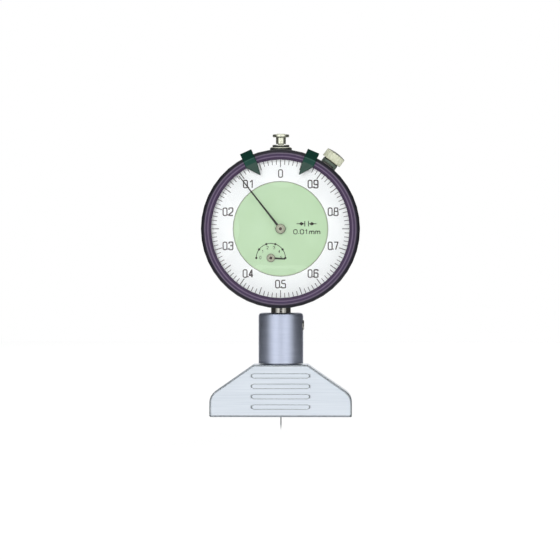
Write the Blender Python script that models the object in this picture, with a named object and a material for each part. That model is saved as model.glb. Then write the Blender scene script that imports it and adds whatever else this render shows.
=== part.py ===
"""Dial depth gauge with a needle point, built as the separate pieces it is assembled from.

Every piece is drawn in the gauge's own frame: the spindle runs up the Z axis, the
measuring face of the base is at height zero and the dial looks along -Y. Pieces of the
head are drawn round the dial's axis. The last step moves the whole gauge so that it
stands over its own centre with the tip of the needle at height zero.
"""
import math

import bmesh
import bpy
from mathutils import Matrix, Vector

MM = 0.001
WELD = 1e-7
RING_SIDES = 44

# Clearances shared by all pieces
SEAT = 0.3 * MM
RUN = 0.1 * MM
PLAY = 0.15 * MM

# Measuring
NEEDLE_OUT = 5.106 * MM
SPINDLE_TRAVEL = 5.4 * MM
MM_PER_COUNTER_TURN = 10.0 * MM

# Spindle and needle
SPINDLE_RADIUS = 2.3 * MM
SPINDLE_SUNK = 4.5 * MM
STUD_RADIUS = 1.0 * MM
STUD_LENGTH = 4.0 * MM
HOLDER_LOW_END = 0.4 * MM
NEEDLE_RADIUS = 0.225 * MM
NEEDLE_TAPER = 2.2 * MM
NEEDLE_SEAT_DEPTH = 3.6 * MM
HOLDER_NOSE = 1.2 * MM
HOLDER_NOSE_RADIUS = 0.8 * MM

# Stem
STEM_WALL = 0.72 * MM
STEM_BUSH_WALL = 0.4 * MM
STEM_BUSH_LENGTH = 6.0 * MM
STEM_FLANGE_WIDTH = 1.18 * MM
STEM_FLANGE_HEIGHT = 1.0 * MM

# Column
COLUMN_RADIUS = 8.05 * MM
COLUMN_HEIGHT = 18.5 * MM
COLUMN_FILLET = 1.0 * MM
COLUMN_FLOOR = 1.4 * MM
SPIGOT_STEP = 2.05 * MM
SPIGOT_LENGTH = 6.0 * MM
CLAMP_SCREW_HEAD = 1.95 * MM
CLAMP_SCREW_SHANK = 1.2 * MM
CLAMP_SCREW_WALL = 2.1 * MM
CLAMP_SCREW_BELOW_TOP = 4.4 * MM
CLAMP_SCREW_PROUD = 0.3 * MM

# Base
BASE_WIDTH = 51.2 * MM
BASE_HEIGHT = 18.8 * MM
BASE_TOP_WIDTH = 19.6 * MM
BASE_MARGIN = 0.2 * MM
SHOULDER_SLOPE = math.radians(35)
SHOULDER_RADIUS = 5.0 * MM
BASE_EDGE = 0.5 * MM
RIB_COUNT = 4
RIB_LENGTH = 20.7 * MM
RIB_WIDTH = 1.6 * MM
RIB_PROUD = 0.4 * MM
LOWEST_RIB = 3.65 * MM
TOP_RIB_DROP = 3.99 * MM

# Bezel, from its rim inwards
BEZEL_RADIUS = 28.5 * MM
BEZEL_SHOULDER = 1.4 * MM
BEZEL_LAND = 1.1 * MM
BEZEL_CONE = 1.25 * MM
BEZEL_LIP = 0.85 * MM
BEZEL_LIP_DEPTH = 1.0 * MM
BEZEL_SKIRT = 1.95 * MM
SKIRT_LENGTH = 2.9 * MM
LEDGE_STEP = 0.7 * MM
LEDGE_LENGTH = 1.5 * MM
RING_THICKNESS = 0.5 * MM

# Crystal and dials
CRYSTAL_THICKNESS = 1.2 * MM
CRYSTAL_DOME = 0.35 * MM
CRYSTAL_GASKET = 0.7 * MM
DIAL_THICKNESS = 0.4 * MM
SCALE_WIDTH = 7.8 * MM
DIAL_HOLE = 0.9 * MM

# Case and back cover
CASE_WALL = 2.0 * MM
WEB_THICKNESS = 1.2 * MM
CASE_BEHIND_BRIDGE = 1.8 * MM
NECK_SHOWING = 1.8 * MM
GASKET_THICKNESS = 0.5 * MM
COVER_THICKNESS = 1.6 * MM
COVER_INSET = 0.4 * MM
COVER_SCREW_RADIUS = 0.8 * MM
COVER_SCREW_HEAD = 1.6 * MM
COVER_SCREW_SUNK = 0.8 * MM
COVER_SCREW_DEPTH = 5.0 * MM
LUG_RADIUS = 2.2 * MM
LUG_INSET = 1.49 * MM

# Upper bush and lift cap
BUSH_HEIGHT = 3.85 * MM
BUSH_WALL = 0.75 * MM
BUSH_SHOULDER = 0.9 * MM
BUSH_RIM = 0.8 * MM
BUSH_FLANGE_WIDTH = 1.2 * MM
BUSH_FLANGE_HEIGHT = 1.0 * MM
CASE_CLEARANCE = 0.8 * MM
CAP_NECK = 1.8 * MM
CAP_NECK_HEIGHT = 2.4 * MM
CAP_RADIUS = 3.0 * MM
CAP_THICKNESS = 1.1 * MM
CAP_BUTTON = 1.7 * MM
CAP_EDGE = 0.2 * MM

# Limit markers
MARKER_WIDTH = 4.4 * MM
MARKER_FLANK = 1.4 * MM
MARKER_REACH = 4.3 * MM
MARKER_TIP_WIDTH = 0.3 * MM
MARKER_TIP_OFFSET = 1.4 * MM
MARKER_THICKNESS = 0.4 * MM
MARKER_SKIRT = 5.6 * MM
LEFT_MARKER_ANGLE = math.radians(-24.3)
RIGHT_MARKER_ANGLE = math.radians(23.2)

# Bezel clamp
CLAMP_ANGLE = math.radians(36.6)
CLAMP_DEPTH = -0.6 * MM
CLAMP_BOSS_RADIUS = 3.0 * MM
CLAMP_BOSS_ROOF = 1.2 * MM
CLAMP_KNOB_RADIUS = 3.75 * MM
CLAMP_KNOB_HEIGHT = 3.1 * MM
CLAMP_KNOB_EDGE = 0.2 * MM
CLAMP_KNOB_CROWN = 0.45 * MM
CLAMP_STEM_RADIUS = 1.0 * MM
SHOE_WIDTH = 3.4 * MM
SHOE_THICKNESS = 0.8 * MM
SHOE_TAIL = 1.0 * MM
SHOE_REACH = 1.2 * MM
KNURLS = 20
KNURL_DEPTH = 0.22 * MM

# Gear train
RACK_PINION_TEETH = 16
RACK_TEETH = 16
RACK_DEPTH = 0.42 * MM
WHEEL_TEETH = 80
TAKE_UP_TEETH = 60
CENTRE_PINION_TEETH = 8
WHEEL_ADDENDUM = 0.85
WHEEL_ROOM = 3.1875 * MM
WHEEL_THICKNESS = 0.5 * MM
WHEEL_TO_PLATE = 1.1 * MM
WHEEL_TO_WEB = 1.2 * MM
PINION_OVERHANG = 0.3 * MM
RACK_PINION_HALF = 1.2 * MM
ARBOR_RADIUS = 0.45 * MM
PIVOT_RADIUS = 0.3 * MM

# Hands
HAND_SHORT_OF_WINDOW = 0.75 * MM
SMALL_HAND_LENGTH = 5.1 * MM
HAND_THICKNESS = 0.2 * MM
HAND_OVER_DIAL = 0.4 * MM
HAND_OVER_HAND = 0.8 * MM
HAND_UNDER_CRYSTAL = 0.4 * MM
MAIN_BOSS_RADIUS = 1.8 * MM
MAIN_BOSS_HEIGHT = 0.6 * MM
SMALL_BOSS_RADIUS = 1.5 * MM
SMALL_BOSS_HEIGHT = 0.4 * MM

# Movement frame
SPINDLE_GAP = 0.7 * MM
PLATE_THICKNESS = 0.6 * MM
PLATE_INSET = 4.2 * MM
PILLAR_RADIUS = 1.3 * MM
PILLAR_INSET = 1.9 * MM
PILLAR_ANGLES = (math.radians(-18.4), math.radians(-49))
BRIDGE_THICKNESS = 0.8 * MM
BRIDGE_END = 2.0 * MM
BRIDGE_HALF = 2.2 * MM
BRIDGE_ARM = 2.0 * MM
BRIDGE_OVER_SLOT = 4.6 * MM
BUSH_RADIUS = 1.4 * MM
SCREW_RADIUS = 0.6 * MM
SCREW_LENGTH = 2.0 * MM
SCREW_HEAD = 1.1 * MM
SCREW_HEAD_HEIGHT = 0.6 * MM

# Springs and pins
PIN_RADIUS = 0.5 * MM
PIN_GAP = 5.0 * MM
SPRING_OFFSET = 6.5 * MM
SPRING_UNDER_CASE = 12.4 * MM
ANCHOR_INSET = 2.126 * MM
SPRING_RADIUS = 1.2 * MM
SPRING_GAP = 2.5 * MM
SPRING_WIRE = 0.15 * MM
SPRING_TURNS = 9
SPRING_SIDES = 6
HAIRSPRING_TURNS = 3
HAIRSPRING_SIDES = 12
HAIRSPRING_WIDTH = 0.4 * MM
HAIRSPRING_WALL = 0.1 * MM
HAIRSPRING_WINDING = 3.3 * MM
COLLET_WALL = 0.4 * MM
COLLET_HEIGHT = 0.6 * MM
STUD_POST_RADIUS = 0.4 * MM

# Heights that follow: from the base up to the dial's axis
COLUMN_TOP = BASE_HEIGHT + COLUMN_HEIGHT
DIAL_HEIGHT = COLUMN_TOP + NECK_SHOWING + BEZEL_RADIUS
STEM_LOW_END = BASE_HEIGHT + COLUMN_FLOOR
SPINDLE_LOW_END = BASE_HEIGHT - SPINDLE_SUNK
RIB_PITCH = (BASE_HEIGHT - LOWEST_RIB - TOP_RIB_DROP) / (RIB_COUNT - 1)
BASE_DEPTH = 2 * (COLUMN_RADIUS + BASE_MARGIN)
RIBBED_BACK = BASE_DEPTH / 2 + RIB_PROUD

# Radii that follow: the stem and holder round the spindle
STEM_BORE = SPINDLE_RADIUS + RUN + STEM_BUSH_WALL + RUN
STEM_RADIUS = STEM_BORE + STEM_WALL
STEM_FLANGE = STEM_RADIUS + STEM_FLANGE_WIDTH
SPIGOT_RADIUS = COLUMN_RADIUS - SPIGOT_STEP
HOLDER_RADIUS = SPINDLE_RADIUS - SEAT
HOLDER_HOLE = HOLDER_RADIUS + SEAT + RUN
BUSH_TOP_RADIUS = SPINDLE_RADIUS + BUSH_WALL
BUSH_COLLAR = BUSH_TOP_RADIUS + BUSH_SHOULDER
BUSH_THREAD = SPINDLE_RADIUS + BUSH_SHOULDER

# Radii that follow: the head inwards from the bezel's rim
BEZEL_FACE_RADIUS = BEZEL_RADIUS - BEZEL_SHOULDER
BEZEL_CONE_RADIUS = BEZEL_FACE_RADIUS - BEZEL_LAND
WINDOW_RADIUS = BEZEL_CONE_RADIUS - BEZEL_CONE
DIAL_RING_RADIUS = WINDOW_RADIUS + BEZEL_LIP
CENTRE_DIAL_RADIUS = WINDOW_RADIUS - SCALE_WIDTH
BEZEL_BORE = DIAL_RING_RADIUS + PLAY
BEZEL_LEDGE = BEZEL_RADIUS - LEDGE_STEP
CASE_RADIUS = BEZEL_RADIUS - BEZEL_SKIRT - PLAY
CASE_BORE = CASE_RADIUS - CASE_WALL
COVER_RADIUS = CASE_RADIUS - COVER_INSET
LUG_OFFSET = (CASE_BORE - LUG_INSET) / math.sqrt(2)
PLATE_RADIUS = CASE_BORE - PLATE_INSET
BUSH_TOP = CASE_RADIUS + BUSH_HEIGHT
SHOE_LOW = BEZEL_LEDGE + SEAT
CLAMP_BOSS_TOP = SHOE_LOW + SHOE_THICKNESS + CLAMP_BOSS_ROOF
CLAMP_KNOB_TOP = CLAMP_BOSS_TOP + SEAT + CLAMP_KNOB_HEIGHT
MARKER_OUTER = BEZEL_RADIUS + SEAT + MARKER_FLANK
MARKER_SHOULDER = WINDOW_RADIUS + PLAY
MARKER_TIP = WINDOW_RADIUS - MARKER_REACH
MAIN_HAND_LENGTH = WINDOW_RADIUS - HAND_SHORT_OF_WINDOW

# The gear train fills the case from its middle, and its pinion meets the rack
RACK_PITCH = MM_PER_COUNTER_TURN / RACK_PINION_TEETH
MM_PER_TURN = MM_PER_COUNTER_TURN * CENTRE_PINION_TEETH / WHEEL_TEETH
RACK_MODULE = RACK_PITCH / math.pi
RACK_PINION_RADIUS = RACK_MODULE * RACK_PINION_TEETH / 2
TRAIN_REACH = (WHEEL_TEETH + CENTRE_PINION_TEETH) / 2 + WHEEL_TEETH / 2 + WHEEL_ADDENDUM
TRAIN_MODULE = (CASE_BORE - WHEEL_ROOM) / TRAIN_REACH
TRAIN_DISTANCE = TRAIN_MODULE * (WHEEL_TEETH + CENTRE_PINION_TEETH) / 2
RACK_X = RACK_DEPTH - SPINDLE_RADIUS
COUNTER_X = RACK_X - RACK_PINION_RADIUS
COUNTER_Z = -math.sqrt(TRAIN_DISTANCE ** 2 - COUNTER_X ** 2)
TRAIN_ANGLE = math.atan2(COUNTER_Z, COUNTER_X)
TAKE_UP_DISTANCE = TRAIN_MODULE * (TAKE_UP_TEETH + CENTRE_PINION_TEETH) / 2
TAKE_UP_X = -TAKE_UP_DISTANCE * math.cos(TRAIN_ANGLE)
TAKE_UP_Z = -TAKE_UP_DISTANCE * math.sin(TRAIN_ANGLE)

# Depths that follow: - is in front of the spindle, + behind it
PLATE_BACK = -SPINDLE_RADIUS - SPINDLE_GAP
PLATE_FRONT = PLATE_BACK - PLATE_THICKNESS
WHEEL_FRONT = PLATE_FRONT - WHEEL_TO_PLATE - WHEEL_THICKNESS
WEB_BACK = WHEEL_FRONT - WHEEL_TO_WEB
WEB_FRONT = WEB_BACK - WEB_THICKNESS
DIAL_BACK = WEB_FRONT - SEAT
DIAL_FRONT = DIAL_BACK - DIAL_THICKNESS
SMALL_HAND_FRONT = DIAL_FRONT - HAND_OVER_DIAL - HAND_THICKNESS
MAIN_HAND_FRONT = SMALL_HAND_FRONT - HAND_OVER_HAND - HAND_THICKNESS
CRYSTAL_FRONT = MAIN_HAND_FRONT - MAIN_BOSS_HEIGHT - HAND_UNDER_CRYSTAL - CRYSTAL_THICKNESS
BEZEL_FRONT = CRYSTAL_FRONT - SEAT - BEZEL_LIP_DEPTH
BEZEL_REAR = WEB_FRONT + SKIRT_LENGTH
MARKER_FRONT = BEZEL_FRONT - SEAT - MARKER_THICKNESS
BRIDGE_FRONT = SPINDLE_RADIUS + SPINDLE_GAP
BRIDGE_BACK = BRIDGE_FRONT + BRIDGE_THICKNESS
CASE_RIM = BRIDGE_BACK + CASE_BEHIND_BRIDGE
COVER_FRONT = CASE_RIM + GASKET_THICKNESS + SEAT
SPINDLE_DEPTH = -(MARKER_FRONT + RIBBED_BACK) / 2

# Places in the movement that follow
BRIDGE_REACH = SPRING_OFFSET + SPRING_RADIUS + SPRING_GAP + PILLAR_RADIUS
SPRING_TOP = CASE_BORE - SPRING_UNDER_CASE
SPRING_BOTTOM = ANCHOR_INSET - math.sqrt(PLATE_RADIUS ** 2 - SPRING_OFFSET ** 2)
GUIDE_PIN_HEIGHT = SPRING_TOP - PIN_GAP
HAIRSPRING_INNER = ARBOR_RADIUS + RUN + COLLET_WALL + SEAT + HAIRSPRING_WALL / 2
HAIRSPRING_OUTER = HAIRSPRING_INNER + HAIRSPRING_WINDING
MAIN_HAND_ANGLE = -2 * math.pi * NEEDLE_OUT / MM_PER_TURN
COUNTER_HAND_ANGLE = -math.pi / 2 + 2 * math.pi * NEEDLE_OUT / MM_PER_COUNTER_TURN


# Materials

def finish(name, colour, roughness, metallic):
    made = bpy.data.materials.new(name)
    made.use_nodes = True
    surface = made.node_tree.nodes["Principled BSDF"]
    surface.inputs["Base Color"].default_value = (*colour, 1)
    surface.inputs["Roughness"].default_value = roughness
    surface.inputs["Metallic"].default_value = metallic
    made.diffuse_color = (*colour, 1)
    return made


def glass(name):
    made = finish(name, (0.95, 0.97, 0.97), 0.03, 0.0)
    made.node_tree.nodes["Principled BSDF"].inputs["Transmission Weight"].default_value = 1.0
    return made


# Shaping helpers

def revolve(profile, segments, along="Z"):
    """Turn (radius, height) points once round an axis; a profile that ends on the axis is solid."""
    bm = bmesh.new()
    points = [bm.verts.new((radius, 0, height)) for radius, height in profile]
    ring = all(radius > 0 for radius, height in profile)
    following = points[1:] + points[:1] if ring else points[1:]
    edges = [bm.edges.new(pair) for pair in zip(points, following)]
    bmesh.ops.spin(
        bm,
        geom=points + edges,
        cent=(0, 0, 0),
        axis=(0, 0, 1),
        angle=2 * math.pi,
        steps=segments,
        use_merge=True,
    )
    bmesh.ops.remove_doubles(bm, verts=bm.verts, dist=WELD)
    return aim(bm, along)


def aim(bm, along):
    """Turn a shape that was made round Z so that its axis lies along X or Y."""
    if along == "Y":
        bmesh.ops.transform(bm, matrix=Matrix.Rotation(-math.pi / 2, 4, "X"), verts=bm.verts)
    if along == "X":
        bmesh.ops.transform(bm, matrix=Matrix.Rotation(math.pi / 2, 4, "Y"), verts=bm.verts)
    return bm


def rod(radius, low, high, segments=16, along="Z"):
    return revolve([(0, low), (radius, low), (radius, high), (0, high)], segments, along)


def tube(bore, radius, low, high, segments=24, along="Z"):
    return revolve([(bore, low), (radius, low), (radius, high), (bore, high)], segments, along)


def prism(outline, front, back):
    """Push an (x, z) outline along Y."""
    bm = bmesh.new()
    face = bm.faces.new([bm.verts.new((x, front, z)) for x, z in outline])
    pushed = bmesh.ops.extrude_face_region(bm, geom=[face])
    moving = [item for item in pushed["geom"] if isinstance(item, bmesh.types.BMVert)]
    bmesh.ops.translate(bm, vec=(0, back - front, 0), verts=moving)
    return bm


def box(low, high):
    (left, front, bottom), (right, back, top) = low, high
    outline = [(left, bottom), (right, bottom), (right, top), (left, top)]
    return prism(outline, front, back)


def arc(centre, radius, start, end, steps):
    """Points on a circle, both ends included; angles run from +x towards +z."""
    angles = [start + (end - start) * step / steps for step in range(steps + 1)]
    return [(centre[0] + radius * math.cos(a), centre[1] + radius * math.sin(a)) for a in angles]


def circle(radius, segments):
    return arc((0, 0), radius, 0, 2 * math.pi * (1 - 1 / segments), segments - 1)


def moved(bm, x=0.0, y=0.0, z=0.0):
    bmesh.ops.translate(bm, vec=(x, y, z), verts=bm.verts)
    return bm


def clocked(bm, angle):
    """Turn a shape about the dial's axis, clockwise as the dial is read."""
    bmesh.ops.transform(bm, matrix=Matrix.Rotation(angle, 4, "Y"), verts=bm.verts)
    return bm


def piece(name, bm, material=None, location=(0, 0, 0)):
    bmesh.ops.recalc_face_normals(bm, faces=bm.faces)
    mesh = bpy.data.meshes.new(name)
    bm.to_mesh(mesh)
    bm.free()
    obj = bpy.data.objects.new(name, mesh)
    bpy.context.scene.collection.objects.link(obj)
    obj.location = location
    if material:
        mesh.materials.append(material)
    soften(obj)
    return obj


def copies(name, bm, material, spots):
    """The same piece in several places round the dial's axis, on one shared mesh."""
    first = piece(name + "_1", bm, material)
    made = [first]
    for count in range(2, len(spots) + 1):
        made.append(bpy.data.objects.new(name + "_" + str(count), first.data))
        bpy.context.scene.collection.objects.link(made[-1])
    for obj, (x, z) in zip(made, spots):
        obj.location = (x, 0, DIAL_HEIGHT + z)
    return made


def soften(obj, angle=math.radians(35)):
    mesh = obj.data
    mesh.polygons.foreach_set("use_smooth", [True] * len(mesh.polygons))
    mesh.set_sharp_from_angle(angle=angle)


def settle(obj):
    """Make an object's modifiers its own mesh."""
    graph = bpy.context.evaluated_depsgraph_get()
    mesh = bpy.data.meshes.new_from_object(obj.evaluated_get(graph))
    obj.modifiers.clear()
    old = obj.data
    obj.data = mesh
    mesh.name = obj.name
    bpy.data.meshes.remove(old)
    soften(obj)


def combine(obj, operation, tools):
    """Cut tools out of a piece, or fuse them to it, and clear the tools away."""
    cutters = [piece("tool", bm, None, obj.location) for bm in tools]
    for cutter in cutters:
        step = obj.modifiers.new(operation.lower(), "BOOLEAN")
        step.operation = operation
        step.solver = "EXACT"
        step.object = cutter
    settle(obj)
    for cutter in cutters:
        mesh = cutter.data
        bpy.data.objects.remove(cutter)
        bpy.data.meshes.remove(mesh)


def cut(obj, *tools):
    combine(obj, "DIFFERENCE", tools)


def fuse(obj, *tools):
    combine(obj, "UNION", tools)


def rounded(obj, width, segments=2, angle=math.radians(40)):
    edge = obj.modifiers.new("edge", "BEVEL")
    edge.width = width
    edge.segments = segments
    edge.limit_method = "ANGLE"
    edge.angle_limit = angle
    settle(obj)


HEAD = (0, 0, DIAL_HEIGHT)
COUNTER = (COUNTER_X, 0, DIAL_HEIGHT + COUNTER_Z)
TAKE_UP = (TAKE_UP_X, 0, DIAL_HEIGHT + TAKE_UP_Z)


# Base and column

def shoulder_points():
    """The right half of the base seen from the front, from its foot to its flat top."""
    half, top = BASE_WIDTH / 2, BASE_TOP_WIDTH / 2
    corner = BASE_HEIGHT - (half - top) * math.tan(SHOULDER_SLOPE)
    turn = math.pi / 2 - SHOULDER_SLOPE
    centre = (half - SHOULDER_RADIUS, corner - SHOULDER_RADIUS * math.tan(turn / 2))
    side = arc(centre, SHOULDER_RADIUS, 0, turn, 4)
    return [(half, 0), *side, (top, BASE_HEIGHT)]


def rib_outline(height):
    reach, half = RIB_LENGTH / 2 - RIB_WIDTH / 2, RIB_WIDTH / 2
    right = arc((reach, height), half, -math.pi / 2, math.pi / 2, 4)
    left = arc((-reach, height), half, math.pi / 2, 3 * math.pi / 2, 4)
    return right + left


def make_base(steel):
    right = shoulder_points()
    left = [(-x, z) for x, z in reversed(right)]
    base = piece("base", prism(right + left, -BASE_DEPTH / 2, BASE_DEPTH / 2), steel)
    rounded(base, BASE_EDGE, segments=2)
    heights = [LOWEST_RIB + RIB_PITCH * count for count in range(RIB_COUNT)]
    fuse(base, *[prism(rib_outline(z), -RIBBED_BACK, RIBBED_BACK) for z in heights])
    spigot_floor = BASE_HEIGHT - SPIGOT_LENGTH - SEAT
    seat = rod(SPIGOT_RADIUS + SEAT, spigot_floor, BASE_HEIGHT + 1 * MM, 32)
    cut(base, rod(HOLDER_HOLE, -1 * MM, spigot_floor + 1 * MM, 20), seat)
    return base


def make_column(steel):
    low, radius, fillet = BASE_HEIGHT + SEAT, COLUMN_RADIUS, COLUMN_FILLET
    stem_bore = STEM_RADIUS + RUN
    spindle_bore = SPINDLE_RADIUS + 2 * SEAT
    stem_floor = STEM_LOW_END - SEAT
    bottom = BASE_HEIGHT - SPIGOT_LENGTH
    top_edge = arc((radius - fillet, COLUMN_TOP - fillet), fillet, 0, math.pi / 2, 2)
    profile = [
        (spindle_bore, bottom),
        (SPIGOT_RADIUS, bottom),
        (SPIGOT_RADIUS, low),
        (radius, low),
        *top_edge,
        (stem_bore, COLUMN_TOP),
        (stem_bore, stem_floor),
        (spindle_bore, stem_floor),
    ]
    column = piece("column", revolve(profile, 32), steel)
    height = COLUMN_TOP - CLAMP_SCREW_BELOW_TOP
    head_seat = STEM_RADIUS + CLAMP_SCREW_WALL
    shank = rod(CLAMP_SCREW_SHANK + SEAT, 0, radius, 10, "X")
    head = rod(CLAMP_SCREW_HEAD + RUN, head_seat, radius + 1 * MM, 16, "X")
    cut(column, moved(shank, z=height), moved(head, z=height))
    return column


def make_column_screw(steel):
    height = COLUMN_TOP - CLAMP_SCREW_BELOW_TOP
    tip, seat = STEM_RADIUS + SEAT, STEM_RADIUS + CLAMP_SCREW_WALL + SEAT
    end = COLUMN_RADIUS + CLAMP_SCREW_PROUD
    shank, head, edge = CLAMP_SCREW_SHANK, CLAMP_SCREW_HEAD, 0.3 * MM
    profile = [(0, tip), (shank, tip), (shank, seat), (head, seat)]
    profile += [(head, end - edge), (head - edge, end), (0, end)]
    screw = piece("column_clamp_screw", moved(revolve(profile, 16, "X"), z=height), steel)
    slot = box((end - 0.6 * MM, -0.3 * MM, height - 3 * MM), (end + 1 * MM, 0.3 * MM, height + 3 * MM))
    cut(screw, slot)
    return screw


def make_stem(steel):
    flange_low = DIAL_HEIGHT - CASE_BORE + CASE_CLEARANCE
    top = flange_low + STEM_FLANGE_HEIGHT
    profile = [
        (STEM_BORE, STEM_LOW_END),
        (STEM_RADIUS - SEAT, STEM_LOW_END),
        (STEM_RADIUS, STEM_LOW_END + SEAT),
        (STEM_RADIUS, flange_low),
        (STEM_FLANGE, flange_low),
        (STEM_FLANGE, top),
        (STEM_BORE, top),
    ]
    return piece("stem", revolve(profile, 22), steel)


def make_stem_bush(bronze):
    low = STEM_LOW_END + SEAT
    bush = tube(SPINDLE_RADIUS + RUN, STEM_BORE - RUN, low, low + STEM_BUSH_LENGTH, 16)
    return piece("stem_bush", bush, bronze)


# Case

def posts_at(spots, radius, front, back, sides=10):
    """The same rod along Y at each (x, z) spot."""
    return [moved(rod(radius, front, back, sides, "Y"), x, 0, z) for x, z in spots]


def lug_spots():
    return [(x * LUG_OFFSET, z * LUG_OFFSET) for x in (-1, 1) for z in (-1, 1)]


def make_case(alloy):
    edge = 0.4 * MM
    profile = [
        (0, WEB_FRONT),
        (CASE_RADIUS - edge, WEB_FRONT),
        (CASE_RADIUS, WEB_FRONT + edge),
        (CASE_RADIUS, CASE_RIM),
        (CASE_BORE, CASE_RIM),
        (CASE_BORE, WEB_BACK),
        (0, WEB_BACK),
    ]
    case = piece("case", revolve(profile, RING_SIDES, "Y"), alloy, HEAD)
    root = WEB_BACK - WEB_THICKNESS / 3
    pillar_end = PLATE_FRONT - SEAT
    lugs = posts_at(lug_spots(), LUG_RADIUS, root, CASE_RIM)
    pillars = posts_at(pillar_spots(), PILLAR_RADIUS, root, pillar_end)
    fuse(case, *lugs, *pillars)
    screw_floor = CASE_RIM - COVER_SCREW_DEPTH
    holes = posts_at(lug_spots(), COVER_SCREW_RADIUS + RUN, screw_floor, CASE_RIM + 1 * MM, 8)
    holes += posts_at(pillar_spots(), SCREW_RADIUS + RUN, pillar_end - SCREW_LENGTH, pillar_end + 1 * MM, 8)
    through = WEB_FRONT - 1 * MM, WEB_BACK + 0.5 * MM
    pivot_floor = WEB_BACK - 0.7 * WEB_THICKNESS
    centre = rod(BUSH_RADIUS + RUN, *through, 12, "Y")
    counter = moved(rod(BUSH_RADIUS + RUN, *through, 12, "Y"), COUNTER_X, 0, COUNTER_Z)
    take_up = moved(rod(PIVOT_RADIUS + RUN, pivot_floor, WEB_BACK + 1 * MM, 8, "Y"), TAKE_UP_X, 0, TAKE_UP_Z)
    below = rod(STEM_RADIUS + RUN, -CASE_RADIUS - 1 * MM, -CASE_BORE + 1.5 * MM, 24)
    above = rod(BUSH_THREAD + RUN, CASE_BORE - 1.5 * MM, CASE_RADIUS + 1 * MM, 24)
    cut(case, *holes, centre, counter, take_up, below, above)
    return case


def make_back_gasket(rubber):
    front = CASE_RIM + SEAT / 2
    ring = tube(CASE_BORE + SEAT, COVER_RADIUS - PLAY, front, front + GASKET_THICKNESS, RING_SIDES // 2, "Y")
    return piece("back_gasket", ring, rubber, HEAD)


def make_back_cover(alloy):
    front = COVER_FRONT
    back, edge = front + COVER_THICKNESS, 0.5 * MM
    profile = [
        (0, front),
        (COVER_RADIUS, front),
        (COVER_RADIUS, back - edge),
        (COVER_RADIUS - edge, back),
        (0, back),
    ]
    cover = piece("back_cover", revolve(profile, RING_SIDES, "Y"), alloy, HEAD)
    shank, head = COVER_SCREW_RADIUS + SEAT, COVER_SCREW_HEAD + SEAT
    low, seat, high = front - 1 * MM, back - COVER_SCREW_SUNK, back + 1 * MM
    hole = [(0, low), (shank, low), (shank, seat), (head, seat), (head, high), (0, high)]
    cut(cover, *[moved(revolve(hole, 10, "Y"), x, 0, z) for x, z in lug_spots()])
    return cover


def make_cover_screws(steel):
    back = COVER_FRONT + COVER_THICKNESS
    seat, tip = back - COVER_SCREW_SUNK + RUN, CASE_RIM - COVER_SCREW_DEPTH + SEAT
    shank, head = COVER_SCREW_RADIUS, COVER_SCREW_HEAD
    profile = [(0, tip), (shank, tip), (shank, seat), (head, seat), (head, back - RUN), (0, back - RUN)]
    return copies("back_cover_screw", revolve(profile, 8, "Y"), steel, lug_spots())


def make_upper_bush(black):
    bore = SPINDLE_RADIUS + RUN
    inside, neck = CASE_BORE - CASE_CLEARANCE, CASE_RADIUS + SEAT
    low, flange = inside - BUSH_FLANGE_HEIGHT, BUSH_THREAD + BUSH_FLANGE_WIDTH
    top, shoulder, edge = BUSH_TOP, BUSH_TOP - BUSH_RIM, 0.4 * MM
    profile = [
        (bore, low),
        (flange, low),
        (flange, inside),
        (BUSH_THREAD, inside),
        (BUSH_THREAD, neck),
        (BUSH_COLLAR, neck),
        (BUSH_COLLAR, shoulder - edge),
        (BUSH_COLLAR - edge, shoulder),
        (BUSH_TOP_RADIUS, shoulder),
        (BUSH_TOP_RADIUS, top),
        (bore, top),
    ]
    return piece("upper_bush", revolve(profile, 22), black, HEAD)


# Bezel clamp

def clamp_frame(bm):
    """Stand a shape that was made up the Z axis on the bezel clamp's line."""
    return clocked(moved(bm, y=CLAMP_DEPTH), CLAMP_ANGLE)


def make_clamp_boss(black):
    post = rod(CLAMP_BOSS_RADIUS, CASE_RADIUS + SEAT, CLAMP_BOSS_TOP, 20)
    boss = piece("bezel_clamp_boss", clamp_frame(post), black, HEAD)
    half, low = SHOE_WIDTH / 2 + RUN, SHOE_LOW - RUN
    high, back = low + SHOE_THICKNESS + 2 * RUN, SHOE_TAIL + 2 * RUN
    slot = box((-half, -2 * CLAMP_BOSS_RADIUS, low), (half, back, high))
    bore = rod(CLAMP_STEM_RADIUS + RUN, low, CLAMP_BOSS_TOP + 1 * MM, 12)
    cut(boss, clamp_frame(slot), clamp_frame(bore))
    return boss


def make_clamp_shoe(steel):
    half, low = SHOE_WIDTH / 2, SHOE_LOW
    front = BEZEL_REAR - SHOE_REACH - CLAMP_DEPTH
    shoe = box((-half, front, low), (half, SHOE_TAIL, low + SHOE_THICKNESS))
    return piece("bezel_clamp_shoe", clamp_frame(shoe), steel, HEAD)


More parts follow.
